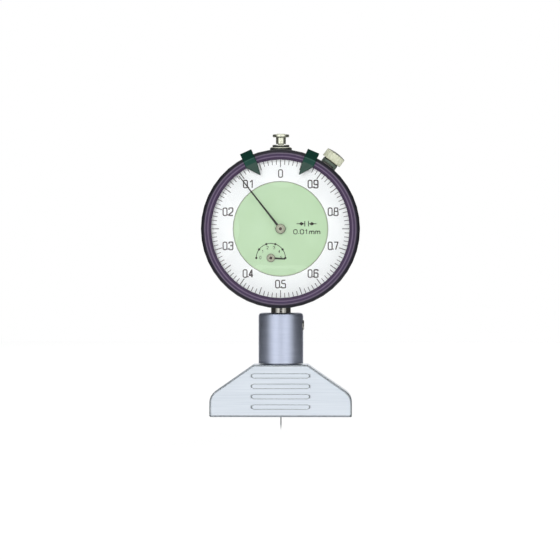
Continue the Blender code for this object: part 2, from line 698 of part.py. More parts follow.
def make_clamp_knob(ivory):
    low, top, edge = CLAMP_BOSS_TOP + SEAT, CLAMP_KNOB_TOP, CLAMP_KNOB_EDGE
    tip = SHOE_LOW + SHOE_THICKNESS + SEAT
    radius = CLAMP_KNOB_RADIUS
    profile = [
        (0, tip),
        (CLAMP_STEM_RADIUS, tip),
        (CLAMP_STEM_RADIUS, low),
        (radius, low),
        (radius, top - edge),
        (radius - edge, top),
        (radius * 2 / 3, top + CLAMP_KNOB_CROWN * 5 / 9),
        (radius / 3, top + CLAMP_KNOB_CROWN * 8 / 9),
        (0, top + CLAMP_KNOB_CROWN),
    ]
    bm = revolve(profile, 2 * KNURLS)
    for vert in bm.verts:
        turn = math.atan2(vert.co.y, vert.co.x) * KNURLS / math.pi
        if math.hypot(vert.co.x, vert.co.y) > radius - edge / 2 and round(turn) % 2:
            vert.co.x *= 1 - KNURL_DEPTH / radius
            vert.co.y *= 1 - KNURL_DEPTH / radius
    centre = Vector((0, CLAMP_DEPTH, 0))
    at = Vector(HEAD) + centre
    return piece("bezel_clamp_knob", clocked(bm, CLAMP_ANGLE), ivory, at)


# Bezel and what turns with it

def make_bezel(black):
    lip = CRYSTAL_FRONT - SEAT
    skirt, groove = CASE_RADIUS + PLAY, CASE_RADIUS + PLAY + RING_THICKNESS
    step, ring_room = WEB_FRONT - PLAY, BEZEL_REAR - RING_THICKNESS - SEAT
    shoulder, edge = BEZEL_SHOULDER, 0.3 * MM
    ledge = BEZEL_REAR - LEDGE_LENGTH
    centre = (BEZEL_RADIUS - shoulder, lip + shoulder)
    round_edge = arc(centre, shoulder, 0, -math.pi / 2, 3)
    profile = [
        (BEZEL_LEDGE, BEZEL_REAR),
        (BEZEL_LEDGE, ledge),
        (BEZEL_RADIUS, ledge),
        *round_edge,
        (BEZEL_FACE_RADIUS, BEZEL_FRONT + edge),
        (BEZEL_FACE_RADIUS - edge, BEZEL_FRONT),
        (BEZEL_CONE_RADIUS, BEZEL_FRONT),
        (WINDOW_RADIUS, lip - 0.4 * BEZEL_LIP_DEPTH),
        (WINDOW_RADIUS, lip),
        (BEZEL_BORE, lip),
        (BEZEL_BORE, step),
        (skirt, step),
        (skirt, ring_room),
        (groove, ring_room),
        (groove, BEZEL_REAR),
    ]
    return piece("bezel", revolve(profile, RING_SIDES, "Y"), black, HEAD)


def make_retaining_ring(steel):
    inner = CASE_RADIUS + RUN / 2
    back = BEZEL_REAR - RUN / 2
    ring = tube(inner, inner + RING_THICKNESS, back - RING_THICKNESS, back, RING_SIDES, "Y")
    return piece("bezel_retaining_ring", ring, steel, HEAD)


def make_crystal(clear):
    radius, front = BEZEL_BORE - 2 * RUN, CRYSTAL_FRONT
    back = front + CRYSTAL_THICKNESS
    profile = [
        (0, front - CRYSTAL_DOME),
        (radius * 0.6, front - CRYSTAL_DOME * 0.6),
        (WINDOW_RADIUS - RUN, front),
        (radius, front),
        (radius, back),
        (0, back),
    ]
    return piece("crystal", revolve(profile, RING_SIDES, "Y"), clear, HEAD)


def make_crystal_gasket(rubber):
    front = CRYSTAL_FRONT + CRYSTAL_THICKNESS + SEAT
    ring = tube(WINDOW_RADIUS + SEAT, BEZEL_BORE - PLAY, front, front + CRYSTAL_GASKET, RING_SIDES // 2, "Y")
    return piece("crystal_gasket", ring, rubber, HEAD)


def make_dial_ring(white):
    ring = tube(CENTRE_DIAL_RADIUS + PLAY, DIAL_RING_RADIUS, DIAL_FRONT, DIAL_BACK, RING_SIDES, "Y")
    return piece("dial_ring", ring, white, HEAD)


def make_centre_dial(green):
    disc = prism(circle(CENTRE_DIAL_RADIUS, RING_SIDES), DIAL_FRONT, DIAL_BACK)
    dial = piece("centre_dial", disc, green, HEAD)
    through = DIAL_FRONT - 1 * MM, DIAL_BACK + 1 * MM
    centre = rod(DIAL_HOLE, *through, 12, "Y")
    counter = moved(rod(DIAL_HOLE, *through, 12, "Y"), COUNTER_X, 0, COUNTER_Z)
    cut(dial, centre, counter)
    return dial


def make_limit_marker(name, side, angle, green):
    """A clip over the bezel's rim with a pointer; side is the way towards zero."""
    half, tip = MARKER_WIDTH / 2, MARKER_TIP_WIDTH / 2
    outline = [
        (-half, MARKER_OUTER),
        (half, MARKER_OUTER),
        (half, MARKER_SHOULDER),
        (MARKER_TIP_OFFSET + tip, MARKER_TIP),
        (MARKER_TIP_OFFSET - tip, MARKER_TIP),
        (-half, MARKER_SHOULDER),
    ]
    inner = BEZEL_RADIUS + SEAT
    flank = [(-half, inner), (half, inner), (half, MARKER_OUTER), (-half, MARKER_OUTER)]
    back = MARKER_FRONT + MARKER_THICKNESS
    plate = prism([(side * x, z) for x, z in outline], MARKER_FRONT, back)
    marker = piece(name, clocked(plate, angle), green, HEAD)
    fuse(marker, clocked(prism(flank, MARKER_FRONT, MARKER_FRONT + MARKER_SKIRT), angle))
    return marker


# Spindle and what slides with it

def rack_comb():
    """The outline that cuts the rack: it leaves trapezoid teeth with a gap facing the pinion."""
    pitch, module = RACK_PITCH, RACK_MODULE
    root, tip = RACK_X + 1.1 * module, RACK_X - 0.8 * module
    outside = -2 * SPINDLE_RADIUS
    first = COUNTER_Z + 2 * pitch - RACK_TEETH * pitch
    outline = [(outside, first - pitch)]
    outline += [(root, first - pitch)]
    for count in range(RACK_TEETH):
        centre = first + (count + 0.5) * pitch
        outline += [(root, centre - 0.27 * pitch), (tip, centre - 0.12 * pitch)]
        outline += [(tip, centre + 0.12 * pitch), (root, centre + 0.27 * pitch)]
    last = first + (RACK_TEETH + 1) * pitch
    outline += [(root, last), (outside, last)]
    return outline


def make_spindle(steel):
    low, top = SPINDLE_LOW_END - DIAL_HEIGHT, BUSH_TOP
    radius, edge = SPINDLE_RADIUS, 0.25 * MM
    hole, depth = STUD_RADIUS + RUN, STUD_LENGTH + SEAT
    profile = [
        (0, low + depth),
        (hole, low + depth),
        (hole, low),
        (radius - edge, low),
        (radius, low + edge),
        (radius, top - edge),
        (radius - edge, top),
        (hole, top),
        (hole, top - depth),
        (0, top - depth),
    ]
    spindle = piece("spindle", revolve(profile, 16), steel, HEAD)
    guide = moved(rod(PIN_RADIUS + RUN, 0.9 * MM, radius + 1 * MM, 8, "Y"), z=GUIDE_PIN_HEIGHT)
    post = moved(rod(PIN_RADIUS + RUN, 0.4 * MM, radius + 1 * MM, 8, "X"), z=SPRING_TOP)
    cut(spindle, prism(rack_comb(), -2 * radius, 2 * radius), guide, post)
    return spindle


def make_lift_cap(nickel):
    low = BUSH_TOP + SEAT
    neck_top = low + CAP_NECK_HEIGHT
    top, edge = neck_top + CAP_THICKNESS, CAP_EDGE
    profile = [
        (0, BUSH_TOP - STUD_LENGTH),
        (STUD_RADIUS, BUSH_TOP - STUD_LENGTH),
        (STUD_RADIUS, low),
        (CAP_NECK, low),
        (CAP_NECK, neck_top),
        (CAP_RADIUS - edge, neck_top),
        (CAP_RADIUS, neck_top + edge),
        (CAP_RADIUS, top - edge),
        (CAP_RADIUS - edge, top),
        (CAP_BUTTON, top),
        (CAP_BUTTON - edge, top + edge),
        (0, top + edge),
    ]
    return piece("lift_cap", revolve(profile, 22), nickel, HEAD)


def make_needle_holder(steel):
    low, top = HOLDER_LOW_END, SPINDLE_LOW_END - SEAT
    hole = NEEDLE_RADIUS + RUN
    nose = low + HOLDER_NOSE
    profile = [
        (0, low + NEEDLE_SEAT_DEPTH + SEAT),
        (hole, low + NEEDLE_SEAT_DEPTH + SEAT),
        (hole, low),
        (HOLDER_NOSE_RADIUS, low),
        (HOLDER_RADIUS, nose),
        (HOLDER_RADIUS, top),
        (STUD_RADIUS, top),
        (STUD_RADIUS, SPINDLE_LOW_END + STUD_LENGTH),
        (0, SPINDLE_LOW_END + STUD_LENGTH),
    ]
    return piece("needle_holder", revolve(profile, 16), steel)


def make_needle(steel):
    tip = -NEEDLE_OUT
    profile = [
        (0, tip),
        (NEEDLE_RADIUS, tip + NEEDLE_TAPER),
        (NEEDLE_RADIUS, HOLDER_LOW_END + NEEDLE_SEAT_DEPTH),
        (0, HOLDER_LOW_END + NEEDLE_SEAT_DEPTH),
    ]
    return piece("needle", revolve(profile, 12), steel)


def make_guide_pin(steel):
    pin = rod(PIN_RADIUS, 1.0 * MM, BRIDGE_BACK + SEAT, 8, "Y")
    return piece("guide_pin", moved(pin, z=GUIDE_PIN_HEIGHT), steel, HEAD)


def make_spring_post(steel):
    post = rod(PIN_RADIUS, 0.5 * MM, SPRING_OFFSET + SPRING_RADIUS, 8, "X")
    return piece("spring_post", moved(post, z=SPRING_TOP), steel, HEAD)


def make_return_spring(steel):
    curve = bpy.data.curves.new("return_spring", "CURVE")
    curve.dimensions = "3D"
    curve.bevel_depth = SPRING_WIRE
    curve.bevel_resolution = 0
    curve.use_fill_caps = True
    stop = PIN_RADIUS + SEAT / 2 + SPRING_WIRE
    low, high = SPRING_BOTTOM + stop, SPRING_TOP - stop
    steps = SPRING_SIDES * SPRING_TURNS
    line = curve.splines.new("POLY")
    line.points.add(steps)
    for step, point in enumerate(line.points):
        turn = 2 * math.pi * step / SPRING_SIDES
        height = low + (high - low) * step / steps
        reach = SPRING_RADIUS * min(1, step / 4, (steps - step) / 4)
        point.co = (SPRING_OFFSET + reach * math.cos(turn), reach * math.sin(turn), height, 1)
    curve.materials.append(steel)
    spring = bpy.data.objects.new("return_spring", curve)
    bpy.context.scene.collection.objects.link(spring)
    spring.location = HEAD
    return spring


# Gear train

def gear_outline(teeth, module, addendum, dedendum, root_share, tip_share, phase):
    """Straight-flanked teeth; a share is the part of one tooth's pitch that is metal."""
    pitch = 2 * math.pi / teeth
    outer = module * (teeth / 2 + addendum)
    root = module * (teeth / 2 - dedendum)
    outline = []
    for count in range(teeth):
        centre = phase + count * pitch
        outline += arc((0, 0), outer, centre - tip_share * pitch / 2, centre + tip_share * pitch / 2, 1)
        gap = (1 - root_share) * pitch / 2
        if gap > 0:
            outline += arc((0, 0), root, centre + pitch / 2 - gap, centre + pitch / 2 + gap, 1)
        else:
            outline += [(root * math.cos(centre + pitch / 2), root * math.sin(centre + pitch / 2))]
    return outline


def make_wheel(name, teeth, phase, brass, at):
    """A thin wheel with sharp valleys and round lightening holes."""
    front, back = WHEEL_FRONT, WHEEL_FRONT + WHEEL_THICKNESS
    outline = gear_outline(teeth, TRAIN_MODULE, WHEEL_ADDENDUM, 1.3, 1.0, 0.2, phase)
    wheel = piece(name, prism(outline, front, back), brass, at)
    through = front - 1 * MM, back + 1 * MM
    windows = []
    middle = TRAIN_MODULE * (teeth / 4 + 1.2)
    for count in range(4):
        angle = math.pi * count / 2 + math.pi / 4
        window = rod(middle * 0.42, *through, 8, "Y")
        windows.append(moved(window, middle * math.cos(angle), 0, middle * math.sin(angle)))
    cut(wheel, rod(ARBOR_RADIUS + RUN, *through, 10, "Y"), *windows)
    return wheel


def make_rack_pinion(steel):
    rear = BRIDGE_BACK
    front = SMALL_HAND_FRONT - SMALL_BOSS_HEIGHT
    profile = [
        (0, front),
        (ARBOR_RADIUS, front),
        (ARBOR_RADIUS, BRIDGE_FRONT - 0.4 * MM),
        (PIVOT_RADIUS, BRIDGE_FRONT - 0.4 * MM),
        (PIVOT_RADIUS, rear),
        (0, rear),
    ]
    pinion = piece("rack_pinion", revolve(profile, 12, "Y"), steel, COUNTER)
    teeth = gear_outline(RACK_PINION_TEETH, RACK_MODULE, 0.75, 1.1, 0.44, 0.16, 0)
    fuse(pinion, prism(teeth, -RACK_PINION_HALF, RACK_PINION_HALF))
    return pinion


def make_centre_pinion(steel):
    front = MAIN_HAND_FRONT - MAIN_BOSS_HEIGHT
    profile = [
        (0, front),
        (ARBOR_RADIUS, front),
        (ARBOR_RADIUS, PLATE_FRONT - SEAT),
        (PIVOT_RADIUS, PLATE_FRONT - SEAT),
        (PIVOT_RADIUS, PLATE_BACK),
        (0, PLATE_BACK),
    ]
    pinion = piece("centre_pinion", revolve(profile, 12, "Y"), steel, HEAD)
    gap_phase = TRAIN_ANGLE + math.pi / CENTRE_PINION_TEETH
    teeth = gear_outline(CENTRE_PINION_TEETH, TRAIN_MODULE, 0.85, 1.15, 0.44, 0.16, gap_phase)
    leaves = prism(teeth, WHEEL_FRONT - PINION_OVERHANG, WHEEL_FRONT + WHEEL_THICKNESS + PINION_OVERHANG)
    fuse(pinion, leaves)
    return pinion


def make_take_up_arbor(steel):
    shoulder, front = WEB_BACK + SEAT, WEB_BACK - WEB_THICKNESS / 2
    profile = [
        (0, front),
        (PIVOT_RADIUS, front),
        (PIVOT_RADIUS, shoulder),
        (ARBOR_RADIUS, shoulder),
        (ARBOR_RADIUS, PLATE_FRONT - SEAT),
        (PIVOT_RADIUS, PLATE_FRONT - SEAT),
        (PIVOT_RADIUS, PLATE_BACK),
        (0, PLATE_BACK),
    ]
    return piece("take_up_arbor", revolve(profile, 10, "Y"), steel, TAKE_UP)


def make_hairspring_collet(brass):
    bore, back = ARBOR_RADIUS + RUN, WHEEL_FRONT - 2 * RUN
    ring = tube(bore, bore + COLLET_WALL, back - COLLET_HEIGHT, back, 12, "Y")
    return piece("hairspring_collet", ring, brass, TAKE_UP)


def make_hairspring(steel):
    """A flat strip wound in a spiral, from the collet out to the stud."""
    strip, wall = HAIRSPRING_WIDTH, HAIRSPRING_WALL / 2
    front = WHEEL_FRONT - SEAT - strip
    steps = HAIRSPRING_SIDES * HAIRSPRING_TURNS
    bm = bmesh.new()
    rings = []
    for step in range(steps + 1):
        angle = 2 * math.pi * step / HAIRSPRING_SIDES
        radius = HAIRSPRING_INNER + (HAIRSPRING_OUTER - HAIRSPRING_INNER) * step / steps
        corners = ((-wall, 0), (wall, 0), (wall, strip), (-wall, strip))
        ring = []
        for out, deep in corners:
            x, z = (radius + out) * math.cos(angle), (radius + out) * math.sin(angle)
            ring.append(bm.verts.new((x, front + deep, z)))
        rings.append(ring)
    for here, there in zip(rings, rings[1:]):
        for side in range(4):
            bm.faces.new((here[side], here[side - 1], there[side - 1], there[side]))
    bm.faces.new(rings[0])
    bm.faces.new(rings[-1])
    return piece("hairspring", bm, steel, TAKE_UP)


def make_hairspring_stud(brass):
    stud = rod(STUD_POST_RADIUS, WEB_BACK + RUN, WHEEL_FRONT - SEAT, 10, "Y")
    reach = HAIRSPRING_OUTER + HAIRSPRING_WALL / 2 + RUN + STUD_POST_RADIUS
    return piece("hairspring_stud", moved(stud, x=reach), brass, TAKE_UP)


# Hands

def hand_outline(hub, root_half, tip_half, length):
    start = math.asin(root_half / hub)
    ring = arc((0, 0), hub, math.pi / 2 + start, math.pi / 2 - start + 2 * math.pi, 12)
    return ring + [(tip_half, length), (-tip_half, length)]


def make_hand(name, outline, front, angle, black, at):
    back = front + HAND_THICKNESS
    hand = piece(name, clocked(prism(outline, front, back), angle), black, at)
    cut(hand, rod(ARBOR_RADIUS + RUN, front - 1 * MM, back + 1 * MM, 12, "Y"))
    return hand


def make_hand_boss(name, radius, front, back, nickel, at):
    edge = 0.12 * MM
    bore = ARBOR_RADIUS + RUN
    profile = [(bore, front), (radius - edge, front), (radius, front + edge), (radius, back), (bore, back)]
    return piece(name, revolve(profile, 18, "Y"), nickel, at)


# Movement frame

def pillar_spots():
    spots = []
    reach = PLATE_RADIUS - PILLAR_INSET
    for angle in PILLAR_ANGLES:
        x, z = reach * math.cos(angle), reach * math.sin(angle)
        spots += [(x, z), (-x, -z)]
    return spots


def bridge_spots():
    return [(-BRIDGE_REACH, COUNTER_Z), (BRIDGE_REACH, COUNTER_Z)]


def make_movement_plate(brass):
    front, back = PLATE_FRONT, PLATE_BACK
    plate = piece("movement_plate", prism(circle(PLATE_RADIUS, 36), front, back), brass, HEAD)
    through = front - 1 * MM, back + 1 * MM
    pivot = PIVOT_RADIUS + RUN
    holes = [rod(pivot, *through, 8, "Y")]
    holes.append(moved(rod(pivot, *through, 8, "Y"), TAKE_UP_X, 0, TAKE_UP_Z))
    holes.append(moved(rod(ARBOR_RADIUS + SEAT, *through, 8, "Y"), COUNTER_X, 0, COUNTER_Z))
    holes += posts_at(pillar_spots(), SCREW_RADIUS + RUN, *through, 8)
    screw = BRIDGE_FRONT - SCREW_LENGTH, BRIDGE_FRONT + 1 * MM
    holes += posts_at(bridge_spots(), SCREW_RADIUS + RUN, *screw, 8)
    fuse(plate, *posts_at(bridge_spots(), PILLAR_RADIUS, front + PLATE_THICKNESS / 6, BRIDGE_FRONT - SEAT))
    cut(plate, *holes)
    return plate


def screw_shape(seat):
    """A small cheese-head screw whose head rests at the given depth."""
    tip, back = seat - SCREW_LENGTH + SEAT, seat + SCREW_HEAD_HEIGHT
    shank, head = SCREW_RADIUS, SCREW_HEAD
    profile = [(0, tip), (shank, tip), (shank, seat), (head, seat), (head, back), (0, back)]
    return revolve(profile, 8, "Y")


def make_movement_screws(steel):
    copies("plate_screw", screw_shape(PLATE_BACK + SEAT), steel, pillar_spots())
    copies("bridge_screw", screw_shape(BRIDGE_BACK + SEAT), steel, bridge_spots())


def make_rear_bridge(brass):
    """Carries the rear pivot of the rack pinion and the slot that keeps the spindle from turning."""
    reach, half, arm = BRIDGE_REACH + BRIDGE_END, BRIDGE_HALF, BRIDGE_ARM
    top = GUIDE_PIN_HEIGHT + SPINDLE_TRAVEL + BRIDGE_OVER_SLOT
    outline = [
        (-reach, COUNTER_Z - half),
        (reach, COUNTER_Z - half),
        (reach, COUNTER_Z + half),
        (arm, COUNTER_Z + half),
        (arm, top),
        (-arm, top),
        (-arm, COUNTER_Z + half),
        (-reach, COUNTER_Z + half),
    ]
    front, back = BRIDGE_FRONT, BRIDGE_BACK
    bridge = piece("rear_bridge", prism(outline, front, back), brass, HEAD)
    through = front - 1 * MM, back + 1 * MM
    holes = [moved(rod(PIVOT_RADIUS + RUN, *through, 8, "Y"), COUNTER_X, 0, COUNTER_Z)]
    holes += posts_at(bridge_spots(), SCREW_RADIUS + RUN, *through, 8)
    side = PIN_RADIUS + RUN
    low = GUIDE_PIN_HEIGHT - PIN_RADIUS - SEAT
    high = GUIDE_PIN_HEIGHT + SPINDLE_TRAVEL + PIN_RADIUS + SEAT
    holes.append(box((-side, through[0], low), (side, through[1], high)))
    cut(bridge, *holes)
    return bridge


def make_arbor_bushes(brass):
    bush = tube(ARBOR_RADIUS + RUN, BUSH_RADIUS, WEB_FRONT + RUN, WEB_BACK + RUN, 12, "Y")
    return copies("arbor_bush", bush, brass, [(0, 0), (COUNTER_X, COUNTER_Z)])


def make_spring_anchor(steel):
    post = rod(PIN_RADIUS, PLATE_BACK + SEAT, SPRING_RADIUS, 10, "Y")
    return piece("spring_anchor", moved(post, SPRING_OFFSET, 0, SPRING_BOTTOM), steel, HEAD)


# The whole gauge

def clear_scene():
    for obj in list(bpy.data.objects):
        bpy.data.objects.remove(obj)


def build():
    clear_scene()
    ground = finish("ground_steel", (0.62, 0.65, 0.70), 0.28, 1.0)
    satin = finish("satin_steel", (0.52, 0.55, 0.62), 0.35, 1.0)
    polished = finish("polished_steel", (0.66, 0.66, 0.66), 0.15, 1.0)
    blued = finish("blued_spring", (0.10, 0.12, 0.22), 0.30, 1.0)
    nickel = finish("nickel_plate", (0.72, 0.72, 0.64), 0.2, 1.0)
    silver = finish("silvered_brass", (0.72, 0.68, 0.64), 0.3, 1.0)
    brass = finish("brass", (0.78, 0.57, 0.25), 0.3, 1.0)
    bronze = finish("bronze", (0.58, 0.34, 0.16), 0.35, 1.0)
    alloy = finish("black_anodised_alloy", (0.025, 0.025, 0.03), 0.45, 0.0)
    bezel_black = finish("bezel_plastic", (0.055, 0.043, 0.068), 0.35, 0.0)
    rubber = finish("black_rubber", (0.02, 0.02, 0.02), 0.8, 0.0)
    enamel = finish("white_enamel", (0.92, 0.93, 0.94), 0.4, 0.0)
    green = finish("pale_green_enamel", (0.52, 0.76, 0.48), 0.4, 0.0)
    marker = finish("green_marker_plastic", (0.012, 0.05, 0.036), 0.4, 0.0)
    ivory = finish("ivory_plastic", (0.72, 0.72, 0.60), 0.45, 0.0)
    ink = finish("black_lacquer", (0.012, 0.012, 0.012), 0.4, 0.0)
    clear = glass("crystal_glass")

    make_base(ground)
    make_column(satin)
    make_column_screw(polished)
    make_stem(polished)
    make_stem_bush(bronze)
    make_case(alloy)
    make_back_gasket(rubber)
    make_back_cover(alloy)
    make_cover_screws(polished)
    make_upper_bush(alloy)
    make_clamp_boss(alloy)
    make_clamp_shoe(polished)
    make_clamp_knob(ivory)
    make_bezel(bezel_black)
    make_retaining_ring(polished)
    make_crystal(clear)
    make_crystal_gasket(rubber)
    make_dial_ring(enamel)
    make_centre_dial(green)
    make_limit_marker("limit_marker_left", 1, LEFT_MARKER_ANGLE, marker)
    make_limit_marker("limit_marker_right", -1, RIGHT_MARKER_ANGLE, marker)
    make_spindle(polished)
    make_lift_cap(nickel)
    make_needle_holder(polished)
    make_needle(polished)
    make_guide_pin(polished)
    make_spring_post(polished)
    make_return_spring(polished)
    make_rack_pinion(polished)
    make_wheel("rack_wheel", WHEEL_TEETH, TRAIN_ANGLE + math.pi, brass, COUNTER)
    make_centre_pinion(polished)
    make_wheel("take_up_wheel", TAKE_UP_TEETH, TRAIN_ANGLE, brass, TAKE_UP)
    make_take_up_arbor(polished)
    make_hairspring_collet(brass)
    make_hairspring(blued)
    make_hairspring_stud(brass)
    main = hand_outline(1.5 * MM, 0.35 * MM, 0.1 * MM, MAIN_HAND_LENGTH)
    make_hand("main_hand", main, MAIN_HAND_FRONT, MAIN_HAND_ANGLE, ink, HEAD)
    small = hand_outline(1.2 * MM, 0.28 * MM, 0.2 * MM, SMALL_HAND_LENGTH)
    make_hand("small_hand", small, SMALL_HAND_FRONT, COUNTER_HAND_ANGLE, ink, COUNTER)
    main_boss = MAIN_HAND_FRONT - MAIN_BOSS_HEIGHT, MAIN_HAND_FRONT - RUN
    make_hand_boss("main_hand_boss", MAIN_BOSS_RADIUS, *main_boss, silver, HEAD)
    small_boss = SMALL_HAND_FRONT - SMALL_BOSS_HEIGHT, SMALL_HAND_FRONT - RUN
    make_hand_boss("small_hand_boss", SMALL_BOSS_RADIUS, *small_boss, silver, COUNTER)
    make_movement_plate(brass)
    make_movement_screws(polished)
    make_rear_bridge(brass)
    make_arbor_bushes(bronze)
    make_spring_anchor(polished)

    for obj in bpy.data.objects:
        obj.location += Vector((0, SPINDLE_DEPTH, NEEDLE_OUT))


build()
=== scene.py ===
# %% [markdown]
# # Dressing a dial depth gauge
#
# The gauge arrives as 54 plain pieces that already have the right shape and place.
# This lesson gives each one the surface that the real piece has, prints the dial, and
# sets up the table, the lamps and the camera of a small product studio.
#
# Everything is in metres: x runs to the right as the dial is read, y goes away from the
# reader, z points up, and the tip of the needle touches the table at z = 0.

# %% Load the gauge
import math

import bmesh
import bpy
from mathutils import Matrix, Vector


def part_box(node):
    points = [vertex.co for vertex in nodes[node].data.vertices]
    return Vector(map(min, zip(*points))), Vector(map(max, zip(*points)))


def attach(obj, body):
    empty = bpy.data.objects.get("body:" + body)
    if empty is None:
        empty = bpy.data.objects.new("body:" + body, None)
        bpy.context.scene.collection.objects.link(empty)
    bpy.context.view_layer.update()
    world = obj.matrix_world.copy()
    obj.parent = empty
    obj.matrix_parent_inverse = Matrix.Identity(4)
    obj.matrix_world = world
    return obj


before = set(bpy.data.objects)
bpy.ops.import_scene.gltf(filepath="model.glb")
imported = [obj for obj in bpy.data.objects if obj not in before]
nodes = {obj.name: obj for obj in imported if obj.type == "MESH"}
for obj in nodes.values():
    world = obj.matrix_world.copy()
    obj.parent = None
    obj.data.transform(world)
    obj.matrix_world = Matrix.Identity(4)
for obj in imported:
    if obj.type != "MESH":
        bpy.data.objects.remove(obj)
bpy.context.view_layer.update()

MM = 0.001
print("pieces:", len(nodes))

# %% [markdown]
# ## Where things are
#
# The dial's axis, the small counter's axis and the face of the dial are read from the
# boxes of the pieces themselves. If the gauge is ever made larger, the printing follows.

# %% Measure the dial
def middle(name):
    """The middle of a piece's box."""
    low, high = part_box(name)
    return (low + high) / 2


def radius_of(name):
    """Half the width of a round piece."""
    low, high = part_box(name)
    return (high.x - low.x) / 2


dial_axis = middle("dial_ring")
counter_axis = middle("small_hand_boss")
dial_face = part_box("centre_dial")[0].y
dial_radius = radius_of("centre_dial")
print("dial axis in mm:", [round(v / MM, 2) for v in dial_axis])
print("radius of the green disc in mm:", round(dial_radius / MM, 2))

# %% [markdown]
# ## One helper for colours and one for nodes
#
# Paint and plastic are easiest to name as the hex colours of a colour chart. Blender
# calculates in linear light, so one function converts them. A second small function adds
# a shader node, sets its values and plugs in its links, which keeps every recipe short.

# %% Colour and node helpers
def colour(code):
    """'#rrggbb' as seen on a screen, turned into the linear colour that Blender lights."""
    parts = [int(code[i:i + 2], 16) / 255 for i in (1, 3, 5)]
    return tuple(p / 12.92 if p <= 0.04045 else ((p + 0.055) / 1.055) ** 2.4 for p in parts) + (1.0,)


def put(tree, kind, inputs=None, **settings):
    """Add one node: settings are its own options, inputs are values or sockets to plug in."""
    made = tree.nodes.new(kind)
    for name, value in settings.items():
        setattr(made, name, value)
    for key, value in (inputs or {}).items():
        if isinstance(value, bpy.types.NodeSocket):
            tree.links.new(value, made.inputs[key])
        else:
            made.inputs[key].default_value = value
    return made


def surface(name, base, roughness, metallic=0.0, **more):
    """A new material with its Principled shader set, ready for a pattern."""
    made = bpy.data.materials.new(name)
    made.use_nodes = True
    shader = made.node_tree.nodes["Principled BSDF"]
    shader.inputs["Base Color"].default_value = colour(base)
    shader.inputs["Roughness"].default_value = roughness
    shader.inputs["Metallic"].default_value = metallic
    for key, value in more.items():
        shader.inputs[key.replace("_", " ")].default_value = value
    return made, made.node_tree, shader


print("white is", colour("#ffffff"), "and middle grey", [round(c, 3) for c in colour("#808080")])

# %% [markdown]
# ## A grain that every machined or moulded surface needs
#
# No real surface has one flat colour. Grinding leaves streaks, turning leaves rings,
# moulding leaves a faint orange peel. All of them are noise, stretched in the direction
# of the tool. The grain takes the object's own coordinates in metres, so its size is
# given in millimetres along x, y and z: 8 mm by 0.5 mm is a streak.
#
# It does three jobs at once: it shifts the colour a little, it makes the gloss uneven,
# and it tilts the surface by a bump of a few thousandths of a millimetre.

# %% The grain
def grain(tree, shader, size_mm, dark, light, rough, bump_mm):
    """Colour, roughness and bump from one stretched noise. Gives back the colour's socket."""
    where = put(tree, "ShaderNodeTexCoord").outputs["Object"]
    stretch = tuple(1000 / size for size in size_mm)
    laid = put(tree, "ShaderNodeMapping", {"Vector": where, "Scale": stretch})
    noise = put(tree, "ShaderNodeTexNoise", {"Vector": laid.outputs[0], "Scale": 1.0, "Detail": 3.0})
    value = noise.outputs[0]
    spread = put(tree, "ShaderNodeMapRange", {"Value": value, "From Min": 0.3, "From Max": 0.7})
    # Inputs 6 and 7 of a colour Mix are its two colours, and output 2 is the mixed one.
    shades = {"Factor": spread.outputs[0], 6: colour(dark), 7: colour(light)}
    mix = put(tree, "ShaderNodeMix", shades, data_type="RGBA")
    tree.links.new(mix.outputs[2], shader.inputs["Base Color"])
    limits = {"Value": spread.outputs[0], "To Min": rough[0], "To Max": rough[1]}
    gloss = put(tree, "ShaderNodeMapRange", limits)
    tree.links.new(gloss.outputs[0], shader.inputs["Roughness"])
    relief = put(tree, "ShaderNodeBump", {"Height": value, "Strength": 1.0, "Distance": bump_mm * MM})
    tree.links.new(relief.outputs[0], shader.inputs["Normal"])
    return mix.outputs[2]


print("a grain of 8 mm by 0.5 mm is scaled by", 1000 / 8, "and", 1000 / 0.5)

# %% [markdown]
# ## Rings of colour and painted edge shade
#
# Two more helpers colour a piece by its shape. The first measures the distance from an axis
# and reads the colour off a ramp: here it paints rings of highlight and shade on turned and
# moulded pieces, and the darker edge of the green disc. The second finds the edges with the
# Bevel node: near an edge, the normal that it rounds off no longer agrees with the surface's
# own, and there it paints a dark line of shade that is no metal.

# %% Rings, edges and dressing
def paint_rings(tree, shader, base, steps, centre):
    """Change the colour with the distance from an axis that runs along y: steps are (mm, hex)."""
    where = put(tree, "ShaderNodeTexCoord").outputs["Object"]
    off = put(tree, "ShaderNodeVectorMath", {0: where, 1: tuple(centre)}, operation="SUBTRACT")
    flat = put(tree, "ShaderNodeVectorMath", {0: off.outputs[0], 1: (1, 0, 1)}, operation="MULTIPLY")
    away = put(tree, "ShaderNodeVectorMath", {0: flat.outputs[0]}, operation="LENGTH")
    reach = steps[-1][0]
    share = put(tree, "ShaderNodeMath", {0: away.outputs["Value"], 1: 1 / (reach * MM)}, operation="MULTIPLY")
    ramp = put(tree, "ShaderNodeValToRGB", {"Fac": share.outputs[0]})
    stops = ramp.color_ramp.elements
    stops[0].position = steps[0][0] / reach
    for distance, code in steps[1:-1]:
        stops.new(distance / reach)
    for stop, (distance, code) in zip(stops, steps):
        stop.color = colour(code)
    both = {"Factor": 1.0, 6: base, 7: ramp.outputs[0]}
    tinted = put(tree, "ShaderNodeMix", both, data_type="RGBA", blend_type="MULTIPLY")
    tree.links.new(tinted.outputs[2], shader.inputs["Base Color"])
    return tinted.outputs[2]


